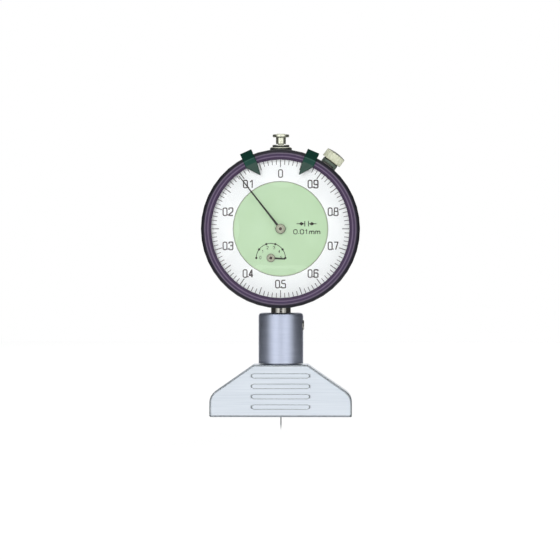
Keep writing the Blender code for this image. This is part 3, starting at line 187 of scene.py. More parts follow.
def dark_edges(tree, shader, base, radius, code, full=0.95):
    """Paint a dark line of shade along every edge; the radius may be a socket."""
    rounded_normal = put(tree, "ShaderNodeBevel", {"Radius": radius}, samples=8).outputs[0]
    own_normal = put(tree, "ShaderNodeNewGeometry").outputs["Normal"]
    agree = put(tree, "ShaderNodeVectorMath", {0: rounded_normal, 1: own_normal}, operation="DOT_PRODUCT")
    limits = {"Value": agree.outputs["Value"], "From Min": 0.995, "From Max": full}
    line = put(tree, "ShaderNodeMapRange", limits).outputs[0]
    edge_shaded = put(tree, "ShaderNodeMix", {"Factor": line, 6: base, 7: colour(code)}, data_type="RGBA")
    tree.links.new(edge_shaded.outputs[2], shader.inputs["Base Color"])
    clean = shader.inputs["Metallic"].default_value
    if clean > 0:
        shine = put(tree, "ShaderNodeMapRange", {"Value": line, "To Min": clean, "To Max": 0.0})
        tree.links.new(shine.outputs[0], shader.inputs["Metallic"])


def dress(made, *names):
    """Give a material to pieces of the gauge, in place of their plain one."""
    for name in names:
        mesh = nodes[name].data
        mesh.materials.clear()
        mesh.materials.append(made)
    print(made.name + ":", ", ".join(names))


# %% [markdown]
# ## Turned faces and broken edges
#
# The pieces come with flat facets and knife-sharp edges. A turned piece is smooth all
# round, and no machinist leaves an edge sharp: it is broken with a stone or a small
# chamfer, and that line catches the light. Modifiers do this without touching the mesh:
#
# - weld joins the corners of the facets, which arrive loose, and decimate merges the
#   triangles of each flat face,
# - geometry nodes drop the stored flat shading and shade everything smooth except where
#   faces meet at more than 40 degrees,
# - and a bevel rounds those edges by about a tenth of a millimetre.

# %% Smooth shading and edges
SHARP = math.radians(40)
turned = bpy.data.node_groups.new("smooth_turned_faces", "GeometryNodeTree")
turned.interface.new_socket("Geometry", in_out="INPUT", socket_type="NodeSocketGeometry")
turned.interface.new_socket("Geometry", in_out="OUTPUT", socket_type="NodeSocketGeometry")
coming = put(turned, "NodeGroupInput")
bare = put(turned, "GeometryNodeRemoveAttribute", {"Geometry": coming.outputs[0], "Name": "custom_normal"})
everywhere = {"Geometry": bare.outputs[0], "Shade Smooth": True}
soft = put(turned, "GeometryNodeSetShadeSmooth", everywhere, domain="FACE")
bend = put(turned, "GeometryNodeInputMeshEdgeAngle")
sharp = put(turned, "FunctionNodeCompare", {0: bend.outputs[0], 1: SHARP}, operation="GREATER_THAN")
at_edges = {"Geometry": soft.outputs[0], "Selection": sharp.outputs[0], "Shade Smooth": False}
kept = put(turned, "GeometryNodeSetShadeSmooth", at_edges, domain="EDGE")
put(turned, "NodeGroupOutput", {0: kept.outputs[0]})

for node in nodes.values():
    node.modifiers.new("joined_corners", "WELD").merge_threshold = 0.001 * MM
    flat = node.modifiers.new("merged_flats", "DECIMATE")
    flat.decimate_type = "DISSOLVE"
    flat.angle_limit = math.radians(0.5)
    node.modifiers.new("turned_smooth", "NODES").node_group = turned


def break_edges(name, width_mm):
    """Round the sharp edges of a piece."""
    edge = nodes[name].modifiers.new("broken_edges", "BEVEL")
    edge.width = width_mm * MM
    edge.segments = 2
    edge.limit_method = "ANGLE"
    edge.angle_limit = SHARP
    even = nodes[name].modifiers.new("flat_faces_stay_flat", "WEIGHTED_NORMAL")
    even.keep_sharp = True


EDGE_MM = {
    "lift_cap": 0.08, "upper_bush": 0.1, "bezel_clamp_boss": 0.1, "bezel_clamp_knob": 0.06,
    "case": 0.1, "limit_marker_left": 0.12, "limit_marker_right": 0.12, "back_cover": 0.1,
    "column_clamp_screw": 0.08, "base": 0.2, "column": 0.2,
}
for name, width_mm in EDGE_MM.items():
    break_edges(name, width_mm)
print("pieces with broken edges:", len(EDGE_MM))

# %% [markdown]
# ## The base: ground tool steel
#
# The base is a hardened steel bar whose faces are surface ground. The wheel leaves
# straight scratches along the bar, about 0.05 mm apart. That is far below one pixel, so
# the streaks are drawn 0.4 mm apart, just enough to show. Steel is a metal: metallic is
# 1, the colour is what it mirrors back, and the IOR stays at its default.
#
# Every edge of the bar and of its ribs is drawn by a dark line of painted shade. It is thin
# round the ribs and stronger along the outline of the bar, so the reach of the Bevel node
# grows outside a box round the ribs.

# %% Ground steel
ground_steel, tree, shader = surface("surface_ground_steel", "#dde5ed", 0.34, 1.0, Specular_IOR_Level=0.15)
base = grain(tree, shader, (20, 20, 0.4), "#d5dde6", "#dfe6ee", (0.31, 0.37), 0.001)

ribs_middle = 14.6 * MM
ribs_half_width = 10.4 * MM
ribs_half_height = 7.4 * MM
rib_shade_line = 0.16 * MM
outline_shade_line = 1.0 * MM
where = put(tree, "ShaderNodeTexCoord").outputs["Object"]
off = put(tree, "ShaderNodeVectorMath", {0: where, 1: (0, 0, ribs_middle)}, operation="SUBTRACT")
to_box = (1 / ribs_half_width, 0, 1 / ribs_half_height)
share = put(tree, "ShaderNodeVectorMath", {0: off.outputs[0], 1: to_box}, operation="MULTIPLY")
size = put(tree, "ShaderNodeVectorMath", {0: share.outputs[0]}, operation="ABSOLUTE")
part = put(tree, "ShaderNodeSeparateXYZ", {0: size.outputs[0]})
outside = put(tree, "ShaderNodeMath", {0: part.outputs["X"], 1: part.outputs["Z"]}, operation="MAXIMUM")
limits = {"From Min": 0.98, "From Max": 1.02, "To Min": rib_shade_line, "To Max": outline_shade_line}
reach = put(tree, "ShaderNodeMapRange", {"Value": outside.outputs[0], **limits})
# A dark line of painted shade along the edges of the bar and of its ribs.
dark_edges(tree, shader, base, reach.outputs[0], "#2a3334", full=0.99)
dress(ground_steel, "base")

# %% [markdown]
# ## The column: satin chrome plate
#
# The column is turned on a lathe, blasted with fine beads and chrome plated. Blasting
# spreads its highlight into the soft blue-grey band that runs down its middle. Turning
# would leave rings, so the grain is short in height and long round the piece.

# %% Satin chrome
satin_chrome, tree, shader = surface("satin_chrome_plate", "#b8c0d2", 0.42, 1.0)
base = grain(tree, shader, (8, 8, 0.5), "#b3bbce", "#bdc4d6", (0.4, 0.46), 0.001)
# A dark line of painted shade along the column's edges.
dark_edges(tree, shader, base, 0.3 * MM, "#3d4848")
dress(satin_chrome, "column")

# %% [markdown]
# ## Polished steel and drawn wire
#
# The stem, the spindle and the small parts on them are hardened and polished, so they
# mirror the studio almost sharply. A faint tool mark stays on them, or the reflections
# would look computed. The needle is drawn wire, whose marks run along it.

# %% Polished steel and drawn wire
polished_steel, tree, shader = surface("polished_hardened_steel", "#94938d", 0.08, 1.0)
grain(tree, shader, (2, 2, 0.25), "#8b8a84", "#9d9c97", (0.06, 0.11), 0.0004)
dress(
    polished_steel, "stem", "spindle", "needle_holder", "column_clamp_screw", "guide_pin", "spring_post",
    "spring_anchor", "return_spring", "bezel_clamp_shoe", "bezel_retaining_ring", "take_up_arbor",
)

needle_wire, tree, shader = surface("drawn_needle_wire", "#75787a", 0.3, 1.0)
grain(tree, shader, (0.2, 0.2, 2), "#6c6f71", "#808385", (0.25, 0.36), 0.0003)
dress(needle_wire, "needle")

# %% [markdown]
# ## The lift cap: bright nickel plate
#
# The cap is turned from brass and nickel plated. Nickel is a little yellower than chrome,
# and a dark line of painted shade runs along the edges of the cap.

# %% Nickel plate
nickel_plate, tree, shader = surface("bright_nickel_plate", "#d2d4c1", 0.3, 1.0)
base = grain(tree, shader, (1.5, 1.5, 0.3), "#c8cab6", "#dcdecd", (0.27, 0.34), 0.0008)
# A dark line of painted shade along the cap's edges.
dark_edges(tree, shader, base, 0.3 * MM, "#33362b")
dress(nickel_plate, "lift_cap")

# %% [markdown]
# ## Blackened steel
#
# The pinions are blackened in hot oil, and so are the small screws, a little greyer.
# Blackening is a skin of oxide, but so thin that the steel still shines through.
#
# The centre pinion's straight leaves graze the wheels by 0.02 mm halfway between two
# teeth. So they are honed a little thinner with a displace modifier, which gives a pair
# of wheels the play it needs to turn.

# %% Blackened steel
oiled_black_steel, tree, shader = surface("oil_blackened_steel", "#4a3733", 0.35, 1.0)
grain(tree, shader, (0.4, 0.4, 0.4), "#3a2a28", "#5a4540", (0.3, 0.45), 0.0005)
dress(oiled_black_steel, "centre_pinion", "rack_pinion")

honed = nodes["centre_pinion"].modifiers.new("honed_leaves", "DISPLACE")
honed.strength = -0.035 * MM
honed.mid_level = 0.0

screw_steel, tree, shader = surface("blackened_screw_steel", "#5c5f63", 0.35, 1.0)
grain(tree, shader, (0.5, 0.5, 0.5), "#515458", "#6b6e72", (0.3, 0.42), 0.001)
screws = [name for name in nodes if "_screw_" in name]
dress(screw_steel, *screws)
print("screws:", len(screws))

# %% [markdown]
# ## Brass, bronze and the spring
#
# The movement behind the dial is brass that was stamped and brushed, its bearings are
# bronze, and the flat spiral spring was tempered to a blue skin. They are out of sight in
# a closed gauge, but a cut-away or an exploded view shows them.

# %% Movement metals
brushed_brass, tree, shader = surface("brushed_clock_brass", "#d9b36a", 0.3, 1.0)
grain(tree, shader, (6, 6, 0.3), "#cfa75c", "#e2bf7a", (0.24, 0.36), 0.001)
dress(
    brushed_brass, "movement_plate", "rear_bridge", "rack_wheel", "take_up_wheel", "hairspring_collet",
    "hairspring_stud",
)

bearing_bronze, tree, shader = surface("turned_bearing_bronze", "#b07b4c", 0.35, 1.0)
grain(tree, shader, (0.3, 3, 0.3), "#a37043", "#bd8a5b", (0.3, 0.4), 0.001)
dress(bearing_bronze, "stem_bush", "arbor_bush_1", "arbor_bush_2")

blued_spring, tree, shader = surface("blue_tempered_steel", "#3b4d86", 0.25, 1.0)
grain(tree, shader, (1, 1, 1), "#32427a", "#475b98", (0.2, 0.3), 0.0005)
dress(blued_spring, "hairspring")

# %% [markdown]
# The hubs of the two hands lie in front of the dial. They are turned brass, silvered, and
# pressed on a dark pin. Round the pin, rings of painted highlight and shade stand in for
# the turned rings catching the light, with painted shade at the rim; they are given here
# as shares of each hub's radius.

# %% Silvered hubs
# Shares of the hub's radius: the dark pin, then painted highlight and shade, and painted shade at the rim.
HUB_PAINTED_LIGHT_RINGS = (
    (0, "#4a3a2c"), (0.28, "#4a3a2c"), (0.36, "#c2c2ae"), (0.55, "#c2c2ae"), (0.62, "#9c9883"),
    (0.7, "#bab9a4"), (0.84, "#b2b19b"), (0.94, "#5d6156"), (1, "#4c5046"),
)
for name in ("main_hand_boss", "small_hand_boss"):
    silvered_brass, tree, shader = surface("silvered_brass_" + name, "#d3c6ba", 0.34, 1.0)
    base = grain(tree, shader, (0.4, 0.4, 0.4), "#f0f0f0", "#ffffff", (0.28, 0.4), 0.0008)
    hub = radius_of(name) / MM
    hub_painted_light_rings = [(share * hub, code) for share, code in HUB_PAINTED_LIGHT_RINGS]
    paint_rings(tree, shader, base, hub_painted_light_rings, middle(name))
    dress(silvered_brass, name)

# %% [markdown]
# ## The case: black anodised aluminium
#
# The case, its cover and the top bush are turned aluminium with a black anodised skin.
# Anodising is an oxide, not a metal, so metallic is 0: it is dark with a soft sheen, and
# its pores scatter light. The bush's upper lip and the small chamfer under it are painted
# as bright bare metal, a painted highlight where these edges catch the light, and two bands
# of height pick them out.

# %% Black anodised case
anodised, tree, shader = surface("black_anodised_aluminium", "#34353a", 0.45, Specular_IOR_Level=0.35)
grain(tree, shader, (0.8, 0.8, 0.8), "#2f3035", "#3a3b40", (0.42, 0.52), 0.003)
dress(anodised, "case", "back_cover")

# %% Black anodised bush with a painted highlight on its lip
bush_black, tree, shader = surface("anodised_bush_with_painted_highlight_lip", "#181c1f", 0.4, Specular_IOR_Level=0.2)
base = grain(tree, shader, (2, 2, 0.3), "#14181b", "#1e2326", (0.35, 0.45), 0.001)
where = put(tree, "ShaderNodeTexCoord").outputs["Object"]
height = put(tree, "ShaderNodeSeparateXYZ", {0: where}).outputs["Z"]
bush_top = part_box("upper_bush")[1].z
lip_start = bush_top - 0.3 * MM
chamfer_middle = bush_top - MM
chamfer_half = 0.2 * MM
# Bands of painted highlight: the lip and the chamfer are painted bright and metallic.
lip = put(tree, "ShaderNodeMath", {0: height, 1: lip_start}, operation="GREATER_THAN").outputs[0]
band = {0: height, 1: chamfer_middle, 2: chamfer_half}
chamfer = put(tree, "ShaderNodeMath", band, operation="COMPARE").outputs[0]
painted_highlight_bands = put(tree, "ShaderNodeMath", {0: lip, 1: chamfer}, operation="MAXIMUM").outputs[0]
both = {"Factor": painted_highlight_bands, 6: base, 7: colour("#c9cabb")}
lip_highlight = put(tree, "ShaderNodeMix", both, data_type="RGBA")
tree.links.new(lip_highlight.outputs[2], shader.inputs["Base Color"])
tree.links.new(painted_highlight_bands, shader.inputs["Metallic"])
dress(bush_black, "upper_bush")

# %% [markdown]
# The boss that carries the clamp knob is a steel turning in grey green lacquer. A dark
# line of painted shade runs along its edges.

# %% Boss lacquer
boss_lacquer, tree, shader = surface("grey_green_lacquer", "#5f6c62", 0.4, Specular_IOR_Level=0.25)
base = grain(tree, shader, (0.6, 0.6, 0.6), "#56625a", "#69766c", (0.35, 0.48), 0.002)
# A dark line of painted shade along the boss's edges.
dark_edges(tree, shader, base, 0.3 * MM, "#2a2c24")
dress(boss_lacquer, "bezel_clamp_boss")

# %% [markdown]
# ## The bezel: moulded black plastic with two painted highlights
#
# The bezel is a dark plum-black moulding. Where its cone meets the land, and where the
# land meets the rounded shoulder, the edges catch the light all round the ring. These are
# painted highlights: the colour changes with the distance from the dial's axis, two narrow
# rings, 0.2 mm wide, are lighter, and the ring darkens towards its outer edge.

# %% Bezel plastic
bezel_plastic, tree, shader = surface(
    "plum_black_moulded_plastic", "#4b4153", 0.4, IOR=1.5, Specular_IOR_Level=0.2,
)
base = grain(tree, shader, (1.2, 1.2, 1.2), "#f0f0f0", "#ffffff", (0.34, 0.44), 0.002)
# Rings of painted highlight, and darker towards the outer edge.
bezel_painted_light_rings = [
    (24.0, "#3d3047"), (25.6, "#40334a"), (25.8, "#6f6079"), (26.0, "#6f6079"),
    (26.15, "#43364f"), (26.75, "#43364f"), (26.92, "#74687c"), (27.12, "#6e6478"),
    (27.3, "#332d3b"), (27.6, "#1d1b24"), (28.6, "#14141a"),
]
paint_rings(tree, shader, base, bezel_painted_light_rings, dial_axis)
dress(bezel_plastic, "bezel")

# %% [markdown]
# ## The limit markers: bottle green plastic
#
# The two markers are moulded in bottle green plastic. They are painted in rings round the
# dial's axis: the thick clip over the rim darker as painted shade, the thin pointer lighter
# as a painted reflection, and a narrow lighter ring between them as a painted highlight.

# %% Marker plastic
marker_green, tree, shader = surface("bottle_green_plastic", "#3b564c", 0.4, IOR=1.5, Specular_IOR_Level=0.1)
base = grain(tree, shader, (1.5, 1.5, 1.5), "#f0f0f0", "#ffffff", (0.36, 0.46), 0.003)
# Painted shade on the clip, painted reflection on the pointer, a painted highlight between.
marker_painted_light_rings = [
    (20, "#3c5049"), (25.2, "#3c5049"), (25.5, "#20443b"), (26.8, "#20443b"),
    (26.95, "#35564c"), (27.15, "#35564c"), (27.3, "#00281f"), (32, "#00281f"),
]
base = paint_rings(tree, shader, base, marker_painted_light_rings, dial_axis)
# A dark line of painted shade along the markers' edges.
dark_edges(tree, shader, base, 0.35 * MM, "#0a2019")
dress(marker_green, "limit_marker_left", "limit_marker_right")

# %% [markdown]
# ## The clamp knob: ivory plastic
#
# The knob is an ivory grey moulding. A dark line of painted shade runs along the edges of
# its grooves, and its domed crown is painted a shaded olive grey: the dome is the part of
# the surface that faces along the knob's own axis, which leans to the right.

# %% Knob plastic
ivory_knob, tree, shader = surface("ivory_grey_plastic", "#d2d1c0", 0.42, IOR=1.5)
base = grain(tree, shader, (0.9, 0.9, 0.9), "#cacdb1", "#dfe2cb", (0.38, 0.48), 0.003)
clamp_lean = math.radians(36.6)
knob_up = Vector((math.sin(clamp_lean), 0, math.cos(clamp_lean)))
# The crown is painted darker as shade, found by where the surface faces.
outward = put(tree, "ShaderNodeNewGeometry").outputs["Normal"]
upright = put(tree, "ShaderNodeVectorMath", {0: outward, 1: tuple(knob_up)}, operation="DOT_PRODUCT")
dome_shade = put(tree, "ShaderNodeMapRange", {"Value": upright.outputs["Value"], "From Min": 0.4, "From Max": 0.7})
both = {"Factor": dome_shade.outputs[0], 6: base, 7: colour("#56574a")}
shaded_dome = put(tree, "ShaderNodeMix", both, data_type="RGBA")
dark_edges(tree, shader, shaded_dome.outputs[2], 0.2 * MM, "#6a6b58")
dress(ivory_knob, "bezel_clamp_knob")

# %% [markdown]
# ## The washer: a dark ring of painted shade
#
# Under the knob lies a thin dark washer, which stands in for the shadow in the gap between
# knob and boss: it is painted shade. It is lathed here from the four corners of its
# section, tilted like the knob, and it turns with it. One helper turns finished mesh code
# into a piece; the printing uses it as well.

# %% Shade washer material and its pieces
# A dark material for the washer, which is painted shade under the knob.
shade_washer_finish, tree, shader = surface("dark_washer_painted_shade", "#37321f", 0.7)
grain(tree, shader, (0.4, 0.4, 0.4), "#302b1a", "#423c28", (0.6, 0.8), 0.003)


def mesh_piece(name, bm, finish, body):
    """Turn finished mesh code into a piece that rides on a body."""
    bmesh.ops.recalc_face_normals(bm, faces=bm.faces)
    mesh = bpy.data.meshes.new(name)
    bm.to_mesh(mesh)
    bm.free()
    mesh.materials.append(finish)
    made = bpy.data.objects.new(name, mesh)
    bpy.context.scene.collection.objects.link(made)
    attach(made, body)
    print(name + ":", len(mesh.polygons), "faces on", body)


# %% Washer under the knob
WASHER_SIDES = 40
# Radii in mm, and heights above the boss in mm.
hole, rim = 1.2, 2.8
under, over = 0.03, 0.27
knob_side = Vector((math.cos(clamp_lean), 0, -math.sin(clamp_lean)))
boss_points = [vertex.co for vertex in nodes["bezel_clamp_boss"].data.vertices]
boss_top = max((point - dial_axis).dot(knob_up) for point in boss_points)
boss_depth = middle("bezel_clamp_boss").y


def washer_ring(radius_mm, above_mm):
    """Points round the knob's axis, at a height above the boss."""
    centre = Vector((dial_axis.x, boss_depth, dial_axis.z)) + knob_up * (boss_top + above_mm * MM)
    ring = []
    for step in range(WASHER_SIDES):
        turn = 2 * math.pi * step / WASHER_SIDES
        outward = knob_side * math.cos(turn) + Vector((0, 1, 0)) * math.sin(turn)
        ring.append(centre + outward * radius_mm * MM)
    return ring


bm = bmesh.new()
section = ((hole, under), (rim, under), (rim, over), (hole, over))
loops = [[bm.verts.new(point) for point in washer_ring(*corner)] for corner in section]
for inner, outer in zip(loops, loops[1:] + loops[:1]):
    for step in range(WASHER_SIDES):
        after = (step + 1) % WASHER_SIDES
        bm.faces.new((inner[step], inner[after], outer[after], outer[step]))
mesh_piece("clamp_knob_shade_washer", bm, shade_washer_finish, "clamp_knob")
print("washer lies", round(boss_top / MM, 2), "mm from the dial's axis")

# %% [markdown]
# ## The gaskets: nitrile rubber
#
# Two thin rings of moulded black rubber seal the crystal and the back cover against oil.
# Rubber is dull, so its roughness is high, and the skin of the mould leaves a fine grain.

# %% Rubber
black_rubber, tree, shader = surface("nitrile_rubber", "#26262a", 0.75, IOR=1.52)
grain(tree, shader, (0.3, 0.3, 0.3), "#222226", "#2c2c30", (0.7, 0.82), 0.004)
dress(black_rubber, "back_gasket", "crystal_gasket")

# %% [markdown]
# ## The dials: enamel paint on aluminium
#
# The white ring turns with the bezel, and the pale green disc stays still. Both are
# sprayed with a satin enamel, so their colour is nearly even, with a very soft mottle.
# A thin line, a little darker, edges the green disc.

# %% Dial enamels
white_enamel, tree, shader = surface("white_dial_enamel", "#f6f7f8", 0.45, IOR=1.5)
grain(tree, shader, (7, 7, 7), "#f4f5f6", "#f9fafa", (0.42, 0.5), 0.001)
dress(white_enamel, "dial_ring")

green_enamel, tree, shader = surface("pale_green_dial_enamel", "#c0dcb6", 0.45, IOR=1.5)
base = grain(tree, shader, (9, 9, 9), "#b7d4ac", "#bfdbb6", (0.42, 0.5), 0.001)
edge = dial_radius / MM
disc_rings = [
    (0, "#ffffff"), (edge - 0.45, "#ffffff"), (edge - 0.25, "#ece6e2"), (edge + 0.4, "#e6dfdc"),
]
paint_rings(tree, shader, base, disc_rings, dial_axis)
dress(green_enamel, "centre_dial")

# %% [markdown]
# The hands are stamped from thin brass and dipped in black lacquer. The lacquer adds
# 0.08 mm to them all round, which a displace modifier lays on.

# %% Hand lacquer
hand_lacquer, tree, shader = surface("black_hand_lacquer", "#1a1914", 0.4, IOR=1.5, Specular_IOR_Level=0.1)
grain(tree, shader, (0.5, 0.5, 0.5), "#17160f", "#22211a", (0.36, 0.46), 0.001)
dress(hand_lacquer, "main_hand", "small_hand")
for name in ("main_hand", "small_hand"):
    dipped = nodes[name].modifiers.new("dipped_lacquer", "DISPLACE")
    dipped.strength = 0.08 * MM
    dipped.mid_level = 0.0

# %% [markdown]
# ## The crystal
#
# The crystal is clear mineral glass, IOR 1.52, only 1.2 mm thick. Blender would let no
# lamp shine straight through it, and the dial would go dull. So for the rays that look
# for lamps the glass is simply transparent, while the camera still sees real glass.

# %% Glass
crystal_glass, tree, shader = surface(
    "mineral_crystal_glass", "#fbfdfd", 0.0, IOR=1.52, Transmission_Weight=1.0,
)
rays = put(tree, "ShaderNodeLightPath").outputs
open_air = put(tree, "ShaderNodeBsdfTransparent")
lamp_rays = {0: rays["Is Shadow Ray"], 1: rays["Is Diffuse Ray"]}
either = put(tree, "ShaderNodeMath", lamp_rays, operation="MAXIMUM")
pane = put(tree, "ShaderNodeMixShader", {0: either.outputs[0], 1: shader.outputs[0], 2: open_air.outputs[0]})
tree.links.new(pane.outputs[0], tree.nodes["Material Output"].inputs["Surface"])
dress(crystal_glass, "crystal")

# %% [markdown]
# ## Printing the dial
#
# A dial is pad printed: ink about 0.02 mm thick, laid on the enamel. Three ways come to
# mind. An image would need a file. Blender's own font has round, wide letters. So the
# marks are drawn as a draughtsman would draw them, with strokes: a curve with a round
# bevel, flattened to a tenth of its depth, makes a stroke with neat round ends.
#
# First the inks, a warm grey for the scale and an olive black for the green disc. Both
# are a little uneven where the pad pressed less.

# %% Inks
dial_ink, tree, shader = surface("umber_pad_printing_ink", "#3d3333", 0.55, Specular_IOR_Level=0.3)
grain(tree, shader, (0.5, 0.5, 0.5), "#372e2e", "#473c3c", (0.5, 0.6), 0.001)

olive_ink, tree, shader = surface("olive_pad_printing_ink", "#1d1c10", 0.6, Specular_IOR_Level=0.1)
grain(tree, shader, (0.5, 0.5, 0.5), "#19180c", "#262416", (0.55, 0.65), 0.001)
print("inks:", dial_ink.name, "and", olive_ink.name)

# %% [markdown]
# Marks with straight sides, such as divisions and arrowheads, need no pen. Their outlines
# are laid on the dial's face and pushed out by the thickness of the ink.

# %% Flat marks
INK_PROUD = 0.02 * MM


def on_dial(right_mm, up_mm, axis=dial_axis):
    """A point on the dial's face, in millimetres from an axis."""
    return Vector((axis.x + right_mm * MM, dial_face, axis.z + up_mm * MM))


def printed(name, outlines, ink, body):
    """Flat printed shapes: each outline is a list of points, pushed out by the ink's thickness."""
    bm = bmesh.new()
    for outline in outlines:
        face = bm.faces.new([bm.verts.new(point) for point in outline])
        pushed = bmesh.ops.extrude_face_region(bm, geom=[face])
        moving = [item for item in pushed["geom"] if isinstance(item, bmesh.types.BMVert)]
        bmesh.ops.translate(bm, vec=(0, -INK_PROUD, 0), verts=moving)
    mesh_piece(name, bm, ink, body)


print("the ink stands", round(INK_PROUD / MM, 3), "mm in front of the enamel")

# %% [markdown]
# ## The scale
#
# One turn of the hand is 1 mm, split into a hundred divisions of 0.01 mm. Each mark
# starts at the bezel and points to the middle; every fifth one is longer.

# %% One hundred divisions
DIVISIONS = 100
# In mm: where a mark starts and ends, from the dial's axis, and half its width.
OUTER_END, SHORT_END, LONG_END = 24.7, 23.0, 22.05
SHORT_HALF_WIDTH, LONG_HALF_WIDTH = 0.115, 0.14


def division(count):
    """The outline of one mark, from its place in the scale."""
    long = count % 5 == 0
    angle = 2 * math.pi * count / DIVISIONS
    inner = LONG_END if long else SHORT_END
    half = LONG_HALF_WIDTH if long else SHORT_HALF_WIDTH
    corners = []
    for side, out in ((-half, inner), (half, inner), (half, OUTER_END), (-half, OUTER_END)):
        right = side * math.cos(angle) + out * math.sin(angle)
        up = side * -math.sin(angle) + out * math.cos(angle)
        corners.append(on_dial(right, up))
    return corners


marks = [division(count) for count in range(DIVISIONS)]
printed("scale_divisions", marks, dial_ink, "bezel_ring")
print("divisions:", len(marks))

# %% [markdown]
# ## Figures made of strokes
#
# The figures are narrow and squarish, so each is a line through a few corners of a box
# one unit wide and one high. `rounded` turns a corner into a small arc, and a figure that
# starts with True is a closed loop.

# %% The figures
FIGURES = {
    "0": [(True, 0.42, [(0, 0), (1, 0), (1, 1), (0, 1)])],
    "1": [(False, 0.08, [(0.2, 0.76), (0.9, 1), (0.9, 0)])],
    "2": [(False, 0.28, [(0, 0.74), (0, 1), (1, 1), (1, 0.55), (0, 0.12), (0, 0), (1, 0)])],
    "3": [
        (False, 0.28, [(0, 0.78), (0, 1), (1, 1), (1, 0.53), (0.35, 0.53)]),
        (False, 0.28, [(0.35, 0.53), (1, 0.53), (1, 0), (0, 0), (0, 0.22)]),
    ],
    "4": [(False, 0.08, [(0.72, 0), (0.72, 1), (0, 0.28), (1, 0.28)])],
    "5": [(False, 0.26, [(0.95, 1), (0.08, 1), (0.04, 0.57), (1, 0.57), (1, 0), (0, 0), (0, 0.22)])],
    "6": [(False, 0.28, [(1, 0.8), (1, 1), (0, 1), (0, 0), (1, 0), (1, 0.57), (0.05, 0.57)])],
    "7": [(False, 0.08, [(0, 1), (1, 1), (0.38, 0)])],
    "8": [
        (True, 0.24, [(0.06, 0.54), (0.94, 0.54), (0.94, 1), (0.06, 1)]),
        (True, 0.26, [(0, 0), (1, 0), (1, 0.54), (0, 0.54)]),
    ],
    "9": [(False, 0.28, [(0, 0.2), (0, 0), (1, 0), (1, 1), (0, 1), (0, 0.43), (0.95, 0.43)])],
    "m": [
        (False, 0.2, [(0, 0), (0, 0.66), (0.5, 0.66), (0.5, 0)]),
        (False, 0.2, [(0.5, 0.5), (0.5, 0.66), (1, 0.66), (1, 0)]),
    ],
    ".": [(False, 0.0, [(0.0, 0.14), (0.0, 0.0)])],
}


def rounded(points, radius, closed):
    """Replace each corner of a line by a short arc, drawn as a curve through the corner."""
    made = []
    last = len(points) - 1
    for index, here in enumerate(points):
        if radius == 0 or (not closed and index in (0, last)):
            made.append(here)
            continue
        before, after = Vector(points[index - 1]), Vector(points[(index + 1) % len(points)])
        corner = Vector(here)
        cut_in = min(radius, (before - corner).length / 2)
        cut_out = min(radius, (after - corner).length / 2)
        start = corner + (before - corner).normalized() * cut_in
        end = corner + (after - corner).normalized() * cut_out
        for step in range(5):
            t = step / 4
            made.append(tuple((1 - t) ** 2 * start + 2 * t * (1 - t) * corner + t * t * end))
    return made


def strokes(name, lines, width, ink, body):
    """Draw lines of dial points with a round pen, pressed flat: each line is (closed, points)."""
    curve = bpy.data.curves.new(name, "CURVE")
    curve.dimensions = "3D"
    curve.bevel_depth = width / 2
    curve.bevel_resolution = 1
    curve.use_fill_caps = True
    for closed, points in lines:
        line = curve.splines.new("POLY")
        line.points.add(len(points) - 1)
        line.use_cyclic_u = closed
        for point, place in zip(line.points, points):
            point.co = (place.x, 0, place.z, 1)
    curve.materials.append(ink)
    made = bpy.data.objects.new(name, curve)
    bpy.context.scene.collection.objects.link(made)
    made.location.y = dial_face
    made.scale.y = 2 * INK_PROUD / width
    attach(made, body)
    print(name + ":", len(lines), "strokes on", body)


def lettering(text, centre, wide, high, gap, point_room=0.0, one_room=0.8, axis=dial_axis):
    """Lines for a short text round a centre, in mm.

    A point sits in the gap between figures, which point_room widens. The figure 1 takes
    the share one_room of a figure's width, and an m takes more than one.
    """
    across = {"1": one_room * wide, "m": 1.3 * wide, ".": point_room - gap}
    total = sum(across.get(letter, wide) + gap for letter in text) - gap
    left = centre[0] - total / 2
    low = centre[1] - high / 2
    lines = []
    for letter in text:
        room = across.get(letter, wide)
        start, scale = (left - gap / 2 + point_room / 2, 1) if letter == "." else (left, room)
        for closed, radius, points in FIGURES[letter]:
            shaped = [(x * scale, y * high) for x, y in points]
            path = rounded(shaped, radius * wide, closed)
            lines.append((closed, [on_dial(start + x, low + y, axis) for x, y in path]))
        left += room + gap
    return lines


# %% [markdown]
# The figures stand upright on a circle and count anticlockwise, because this gauge reads
# depth: the needle reaches further down as the hand turns that way.

# %% Figures of the scale
FIGURE_CIRCLE = 19.8
labels = []
for tenth in range(10):
    angle = -2 * math.pi * tenth / 10
    spot = (FIGURE_CIRCLE * math.sin(angle), FIGURE_CIRCLE * math.cos(angle))
    text = "0" if tenth == 0 else "0." + str(tenth)
    labels += lettering(text, spot, wide=1.38, high=2.7, gap=0.74)
strokes("scale_figures", labels, 0.47 * MM, dial_ink, "bezel_ring")

# %% [markdown]
# ## What the green disc says
#
# On its right a pair of arrows closes on one division, over its value: two diamonds with
# their shafts, and a bar in front of each. All places are in millimetres from the dial's
# axis.

# %% Arrows and value
ARROW_UP = 1.8
VALUE_UP = -1.07


def diamond(right, up, wide=1.0, high=0.65):
    """The outline of an arrowhead."""
    corners = ((right - wide, up), (right, up - high), (right + wide, up), (right, up + high))
    return [on_dial(*corner) for corner in corners]


